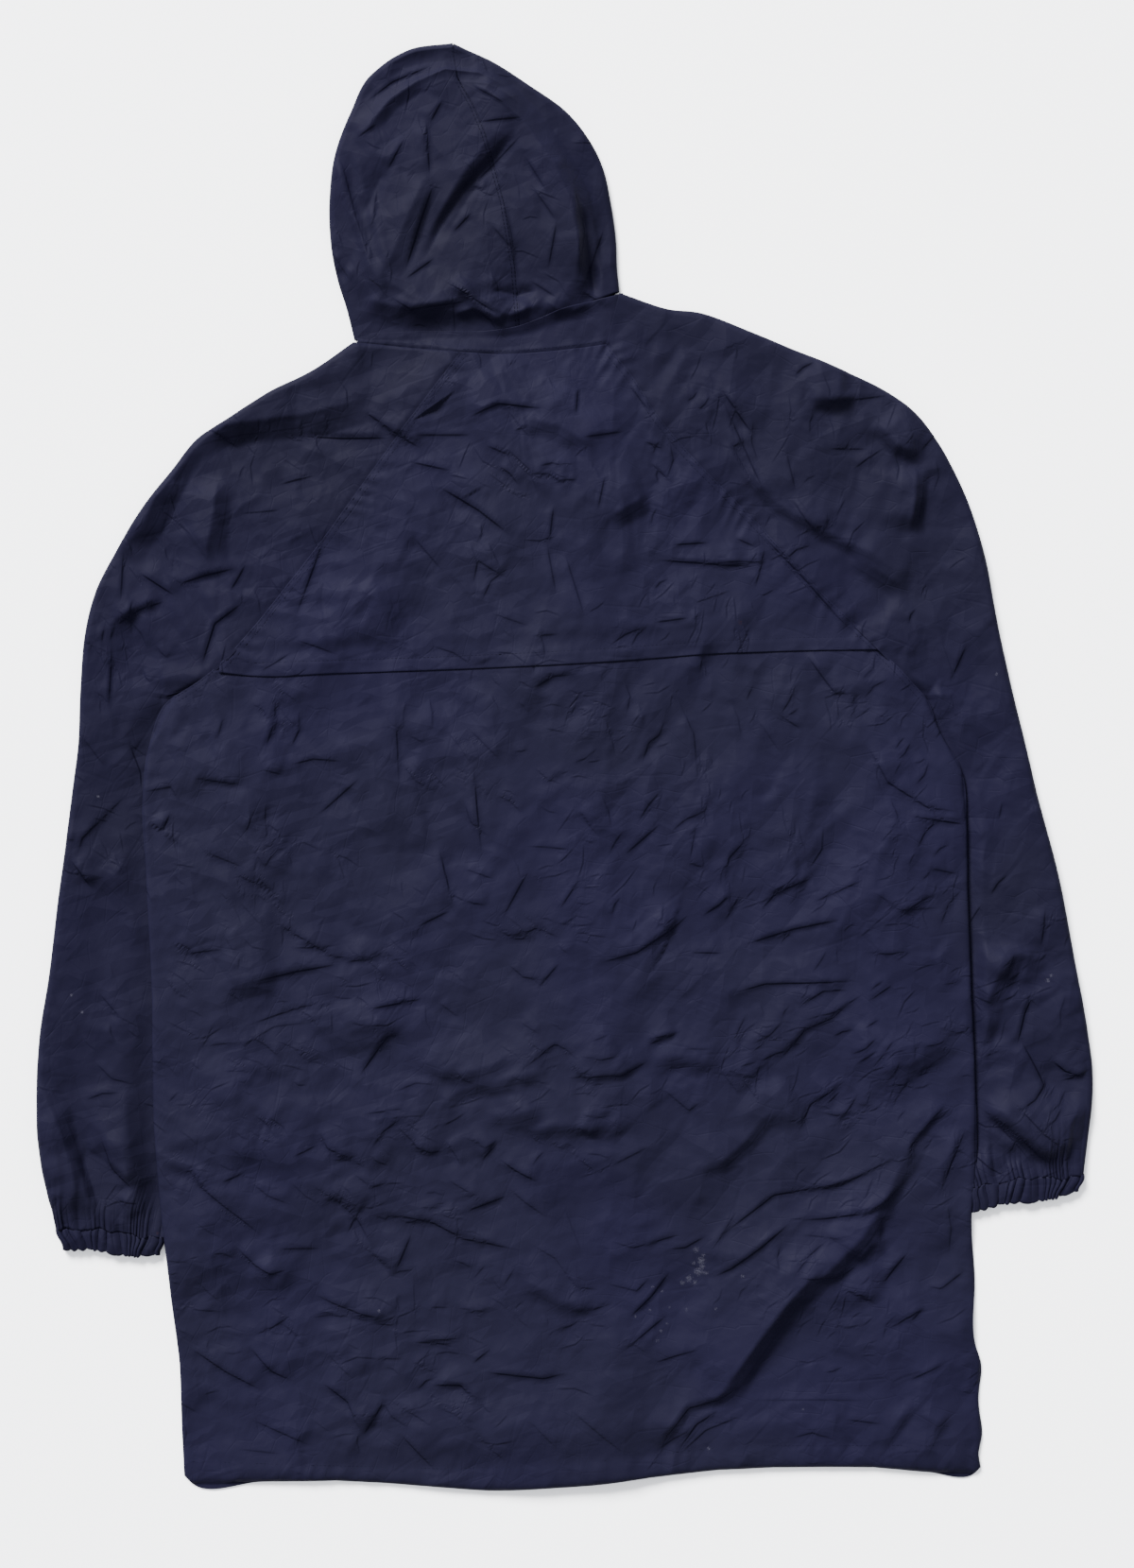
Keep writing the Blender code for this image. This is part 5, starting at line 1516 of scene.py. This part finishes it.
# %% Socket class and node maker
class Value:
    """An output socket of a node tree, or a number, that can be added, multiplied and so on."""

    def __init__(self, tree, socket):
        self.tree, self.socket = tree, socket

    def math(self, operation, *others, clamp=False):
        """A Math node of that operation with this value first."""
        node = self.tree.nodes.new("ShaderNodeMath")
        node.operation, node.use_clamp = operation, clamp
        for slot_in, value in zip(node.inputs, (self, *others)):
            join(self.tree, slot_in, value)
        return Value(self.tree, node.outputs[0])

    def __add__(self, other):
        return self.math("ADD", other)

    def __mul__(self, other):
        return self.math("MULTIPLY", other)

    def __sub__(self, other):
        return self.math("SUBTRACT", other)

    def __rsub__(self, other):
        return (self * -1.0).math("ADD", other)

    def __truediv__(self, other):
        return self.math("DIVIDE", other)

    def __pow__(self, other):
        return self.math("POWER", other)

    __radd__ = __add__
    __rmul__ = __mul__

    def ramp(self, low, high):
        """0 below low, 1 above high and a smooth step between."""
        share = ((self - low) / (high - low)).math("ADD", 0.0, clamp=True)
        return share * share * (3.0 - 2.0 * share)


def join(tree, socket, value):
    """Link a value into a socket, or set the socket if the value is a plain number or colour."""
    if isinstance(value, Value):
        tree.links.new(value.socket, socket)
    else:
        socket.default_value = value


class Shader:
    """A new material of one Principled shader whose nodes are made by `node`."""

    def __init__(self, name):
        self.material = bpy.data.materials.new(name)
        self.material.use_nodes = True
        self.tree = self.material.node_tree
        self.surface = self.tree.nodes["Principled BSDF"]
        self.place = self.node("ShaderNodeTexCoord", output="Object")
        self.plan = self.node("ShaderNodeVectorMath", {"operation": "MULTIPLY"},
                              at={0: self.place, 1: (1.0, 1.0, 0.0)})

    def node(self, kind, settings=None, output=0, at=None, **inputs):
        """Makes a node, applies its settings, fills its inputs by place number or by name, and
        returns one output."""
        node = self.tree.nodes.new(kind)
        for key, value in (settings or {}).items():
            setattr(node, key, value)
        for key, value in {**(at or {}), **inputs}.items():
            key = key.replace("_", " ") if isinstance(key, str) else key
            join(self.tree, node.inputs[key], value)
        return Value(self.tree, node.outputs[output])

    def set(self, **inputs):
        """Fills inputs of the Principled shader by name."""
        for key, value in inputs.items():
            join(self.tree, self.surface.inputs[key.replace("_", " ")], value)

    def noise(self, scale, detail=3.0):
        """Noise from 0 to 1 at that many cells a metre."""
        return self.node("ShaderNodeTexNoise", Vector=self.place, Scale=scale, Detail=detail)

    def mix(self, share, first, second):
        """A colour between two others."""
        return self.node("ShaderNodeMix", {"data_type": "RGBA"}, output=2,
                         at={0: share, 6: first, 7: second})

    def vector(self, operation, values, output=0):
        """A Vector Math node with inputs by place number."""
        return self.node("ShaderNodeVectorMath", {"operation": operation}, output, values)

    def part(self, vector, number):
        """The x, y or z of a vector, by number from 0."""
        return self.node("ShaderNodeSeparateXYZ", output=number, Vector=vector)

    def cells(self, place, scale, key, choice):
        """Distance pattern of flat cells, with one setting of the Voronoi node."""
        return self.node("ShaderNodeTexVoronoi", {"voronoi_dimensions": "2D", key: choice},
                         Vector=place, Scale=scale)


print("shader helpers:", [name for name in vars(Shader) if not name.startswith("_")])

# %% [markdown]
# ## Nylon
#
# The cloth is a dark navy that is neither matt nor glossy: a broad, soft sheen that turns every
# facet a little lighter or darker. The weave is far finer than a stitch, so it is a bump of two
# crossed waves on the cut's own coordinates. A second bump holds the dents, grooves and crisp lines
# that are too fine for the mesh.
# Broad patches of a violet tone in the colour are partly random tone and partly painted sheen, and
# the darker copies of the nylon for the sleeves, hood, neck band and cuffs are painted shade.

# %% Nylon material
NAVY = (0.0038, 0.0035, 0.0087, 1.0)
NAVY_WORN = (0.0046, 0.0043, 0.0100, 1.0)
# Partly random tone and partly painted sheen: broad patches of this tone stand in for the sheen of
# facets that face the light.
NAVY_VIOLET_SHEEN = (0.0041, 0.0035, 0.0107, 1.0)
THREAD_PITCH = 0.00045
STEP_HALF = 0.7
STEP_RISE = 0.55
PLEAT_RISE = 1.4
# Scale in cells a metre, depth in millimetres and turn of the dents, then scale and depth of the
# grooves.
DENTS = ((25.0, 3.1, 0.0), (55.0, 1.35, 1.2), (130.0, 0.25, 2.1))
GROOVES = ((30.0, 0.14), (62.0, 0.12))
DENT_ANGLES = (-0.9, 0.85)
POWDER = (0.045, 0.044, 0.055, 1.0)
DRIED = (0.011, 0.005, 0.006, 1.0)


def spotted(shader, spots):
    """How strongly a point lies in one of the spots. A spot is x, y, radius and strength, and its
    edge is broken up by noise on the object's own coordinates."""
    ragged = shader.noise(1100.0, 4.0) - 0.5
    total = 0.0
    for x, y, radius, strength in spots:
        away = shader.vector("DISTANCE", {0: shader.plan, 1: (x * MM, y * MM, 0.0)}, 1)
        border_at = away + ragged * (radius * MM * 3.0)
        spot = strength * (1.0 - border_at.ramp(radius * MM * 0.45, radius * MM))
        total = spot.math("MAXIMUM", total)
    return total * shader.noise(1500.0, 3.0).ramp(0.44, 0.54)


def small_creases(shader, place, angle):
    """Height in millimetres of the creases that are too fine for the mesh, drawn out along an
    angle: flat-faced dents of three sizes, less thin straight grooves between larger cells. The
    smaller dents are turned away from the larger ones."""
    height = 0.0
    for scale, depth, turn in DENTS:
        drawn = shader.node("ShaderNodeMapping", {"vector_type": "TEXTURE"}, Vector=place,
                            Rotation=(0.0, 0.0, angle + turn), Scale=(1.6, 1.0, 1.0))
        here = shader.noise(11.0 + scale / 6, 2.0).ramp(0.42, 0.62)
        dents = shader.cells(drawn, scale, "distance", "MANHATTAN")
        height = dents * (0.3 * depth + 0.7 * depth * here) + height
    for scale, depth in GROOVES:
        here = shader.noise(15.0 + scale / 3, 2.0).ramp(0.48, 0.57)
        to_edge = shader.cells(drawn, scale, "feature", "DISTANCE_TO_EDGE")
        height = height - (1.0 - to_edge.ramp(0.0, 0.055)) * here * depth
    return height


def crisp_lines(shader):
    """Height in millimetres of the thin creases and pleats that are stored with the cloth: a steep
    step across each crease line, and a row of round pleats with sharp pinches above each cuff."""
    stored = [shader.node("ShaderNodeAttribute", {"attribute_name": name}, output="Vector")
              for name in ("crease", "pleat")]
    (away, strength), (phase, fade) = [[shader.part(pair, number) for number in (0, 1)]
                                       for pair in stored]
    step = (away / -STEP_HALF).math("MINIMUM", 1.0).math("MAXIMUM", -1.0)
    pleat = (phase * math.pi).math("SINE").math("ABSOLUTE")**0.6
    return step * strength * STEP_RISE + pleat * fade * PLEAT_RISE


def nylon(name, pale_marks=(), brown_marks=(), shade=1.0):
    """Coated taffeta. Pale marks are powdery and matt, brown marks are thin dried spots, and the
    shade is painted shade: it makes all its colours darker, for pieces that slope away from the
    light or lie in the shadow of another piece."""
    shader = Shader(name)
    broad = shader.noise(5.0, 2.0).ramp(0.35, 0.68)
    cloudy = shader.noise(38.0, 5.0).ramp(0.3, 0.75)
    base, worn, violet = [(*(shade * part for part in tone[:3]), 1.0)
                          for tone in (NAVY, NAVY_WORN, NAVY_VIOLET_SHEEN)]
    colour = shader.mix(cloudy * 0.55 + 0.1, base, worn)
    # Painted sheen: broad noise patches of the violet tone stand in for the sheen of lit facets.
    colour = shader.mix(broad * 0.6, colour, violet)
    rough = 0.55 + 0.07 * cloudy + 0.04 * shader.noise(160.0, 3.0)
    if pale_marks:
        share = spotted(shader, pale_marks)
        colour = shader.mix(share, colour, POWDER)
        rough = rough + 0.35 * share
    if brown_marks:
        colour = shader.mix(spotted(shader, brown_marks), colour, DRIED)
    cut = shader.node("ShaderNodeUVMap", {"uv_map": "cut"})
    warp, weft = [(shader.part(cut, number) * (2 * math.pi / THREAD_PITCH)).math("SINE")
                  for number in (0, 1)]
    bend = shader.node("ShaderNodeTexNoise", {"noise_dimensions": "2D"}, output="Color",
                       Vector=shader.plan, Scale=22.0, Detail=1.0)
    bend = shader.vector("SCALE", {0: bend, 3: 0.006})
    bent = shader.vector("ADD", {0: shader.plan, 1: bend})
    left, right = [small_creases(shader, bent, angle) for angle in DENT_ANGLES]
    to_right = shader.part(shader.plan, 0).ramp(-0.09, 0.09)
    relief = left + (right - left) * to_right + shader.noise(620.0, 3.0) * 0.02
    relief = relief + crisp_lines(shader)
    fine = shader.node("ShaderNodeBump", Strength=0.08, Distance=0.00012, Height=warp * weft)
    normal = shader.node("ShaderNodeBump", Strength=1.0, Distance=0.001, Height=relief, Normal=fine)
    shader.set(Base_Color=colour, Roughness=rough, Normal=normal)
    shader.set(IOR=1.5, Specular_IOR_Level=0.016)
    return shader.material


# %% Marks and the nylon of each piece
PALE_ON_BACK = (
    (108, -397, 2.6, 0.3), (112, -406, 3.6, 0.34), (110, -415, 3.8, 0.34), (102, -421, 3.0, 0.3),
    (97, -424, 2.2, 0.3), (114, -401, 1.8, 0.3), (116, -416, 2.0, 0.3), (146, -418, 1.5, 0.36),
    (72, -427, 1.3, 0.3), (124, -445, 1.3, 0.3), (58, -451, 1.1, 0.26), (80, -431, 1.2, 0.28),
    (70, -446, 1.3, 0.26), (86, -444, 1.1, 0.22), (-153, -447, 1.5, 0.38), (79, -463, 1.4, 0.22),
    (106, -408, 2.0, 0.3), (113, -411, 2.2, 0.34), (84, -457, 1.2, 0.22), (76, -471, 1.5, 0.2),
    (100, -446, 1.8, 0.14), (118, -560, 1.4, 0.38), (196, -528, 1.1, 0.3), (107, -424, 2.0, 0.34),
)
BROWN_ON_YOKE = ((144, 119, 2.2, 0.45),)
PALE_ON_LEFT = ((-384, -24, 1.3, 0.4), (-406, -187, 1.3, 0.4), (-397, -201, 1.4, 0.45))
BROWN_ON_LEFT = ((-335, -383, 1.6, 0.4),)
PALE_ON_RIGHT = ((397, -175, 2.0, 0.36), (400, -171, 1.4, 0.32), (355, 77, 1.3, 0.34))

plain = nylon("navy_nylon")
dress = {
    "lower_back": nylon("navy_nylon_back", PALE_ON_BACK),
    "yoke": nylon("navy_nylon_yoke", (), BROWN_ON_YOKE),
    # Painted shade: the sleeves and the hood get darker copies of the nylon, as they slope away
    # from the light.
    "sleeve_left_cloth": nylon("navy_nylon_left_sleeve", PALE_ON_LEFT, BROWN_ON_LEFT, 0.86),
    "sleeve_right_cloth": nylon("navy_nylon_right_sleeve", PALE_ON_RIGHT, (), 0.9),
    "hood_left_cloth": nylon("navy_nylon_hood", shade=0.87),
}
# Painted shade: the neck band shares the hood's darker copy, for the hood's shadow that falls on
# it.
dress["hood_right_cloth"] = dress["neck_band_cloth"] = dress["hood_left_cloth"]
print("nylon materials:", 1 + len(dress))

# %% Thread and stud materials
def hard_part(name, worn, dark, light, rough, shine):
    """A material between two tones and two roughnesses, by a pattern that `worn` makes."""
    shader = Shader(name)
    share = worn(shader)
    shader.set(Base_Color=shader.mix(share, (*dark, 1.0), (*light, 1.0)))
    shader.set(Roughness=rough[0] + rough[1] * share, Specular_IOR_Level=shine)
    return shader.material


# Polyester thread with a fine twist, and moulded plastic with faint rubbed patches. The thread
# is darker than the cloth, which is partly painted shade: it stands in for the shade in the
# grooves that the stitches sink into.
threads = hard_part("navy_thread", lambda shader: shader.noise(900.0, 2.0),
                    (0.0012, 0.0012, 0.0040), (0.0022, 0.0021, 0.0066), (0.55, 0.1), 0.02)
plastic = hard_part("navy_stud", lambda shader: shader.noise(300.0, 3.0).ramp(0.45, 0.75),
                    (0.0016, 0.0016, 0.0046), (0.003, 0.003, 0.0065), (0.28, 0.14), 0.05)
# Painted shade: the cuff casings get a darker copy of the nylon, like the sleeves.
casing = nylon("navy_nylon_casing", shade=0.86)
kinds = {"_stitches": threads, "_casing": casing, "stud_cap": plastic}
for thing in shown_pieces():
    chosen = [finish for word, finish in kinds.items() if word in thing.name]
    thing.data.materials.clear()
    thing.data.materials.append((chosen + [dress.get(thing.name, plain)])[0])

# %% [markdown]
# ## Stage, light and camera
#
# The coat lies on a pale table and is seen from straight above. The light is wide and soft and
# comes mostly from beyond the hood and a little from the left, so slopes that face the hem are
# dark, as in a room with one large window.

# %% Floor
FLOOR_HALF = 3000.0
FLOOR_Z = -0.02


def floor():
    """A wide plain table top just below the coat."""
    corners = [(x * FLOOR_HALF, y * FLOOR_HALF, FLOOR_Z)
               for x, y in ((-1, -1), (1, -1), (1, 1), (-1, 1))]
    thing = build("table_top", corners, [(0, 1, 2), (0, 2, 3)])
    shader = Shader("pale_table")
    shader.set(Base_Color=(0.86, 0.865, 0.88, 1.0), Roughness=0.7)
    thing.data.materials.append(shader.material)
    return thing


# %% Lights and camera
# Places and sizes in metres, power in watts, and the camera's lens in millimetres.
WINDOW_PLACE = (-15.0, 26.0, 20.6)
WINDOW_SIZE = (16.0, 11.5)
WINDOW_POWER = 98000.0
ROOM_COLOUR = (0.93, 0.95, 1.0, 1.0)
ROOM_STRENGTH = 1.75
CAMERA_PLACE = (0.0017, -0.0135, 2.2)
CAMERA_LENS = 61.2


def area_light(name, place, size, power):
    """A rectangular soft light that faces the middle of the coat."""
    data = bpy.data.lights.new(name, "AREA")
    data.shape, data.size, data.size_y, data.energy = "RECTANGLE", *size, power
    thing = bpy.data.objects.new(name, data)
    bpy.context.scene.collection.objects.link(thing)
    thing.location = place
    thing.rotation_euler = (math.acos(place[2] / np.linalg.norm(place)), 0.0,
                            math.atan2(place[0], -place[1]))


area_light("window_light", WINDOW_PLACE, WINDOW_SIZE, WINDOW_POWER)
world = bpy.data.worlds.new("room")
world.use_nodes = True
background = world.node_tree.nodes["Background"].inputs
background["Color"].default_value = ROOM_COLOUR
background["Strength"].default_value = ROOM_STRENGTH
bpy.context.scene.world = world

camera_data = bpy.data.cameras.new("camera")
camera_data.sensor_fit, camera_data.sensor_width, camera_data.lens = "AUTO", 36.0, CAMERA_LENS
camera_data.dof.use_dof = False
camera = bpy.data.objects.new("camera", camera_data)
camera.location = CAMERA_PLACE
bpy.context.scene.collection.objects.link(camera)
bpy.context.scene.camera = camera

floor()
print("window %.0f m away, camera %.1f m up" % (np.linalg.norm(WINDOW_PLACE), CAMERA_PLACE[2]))
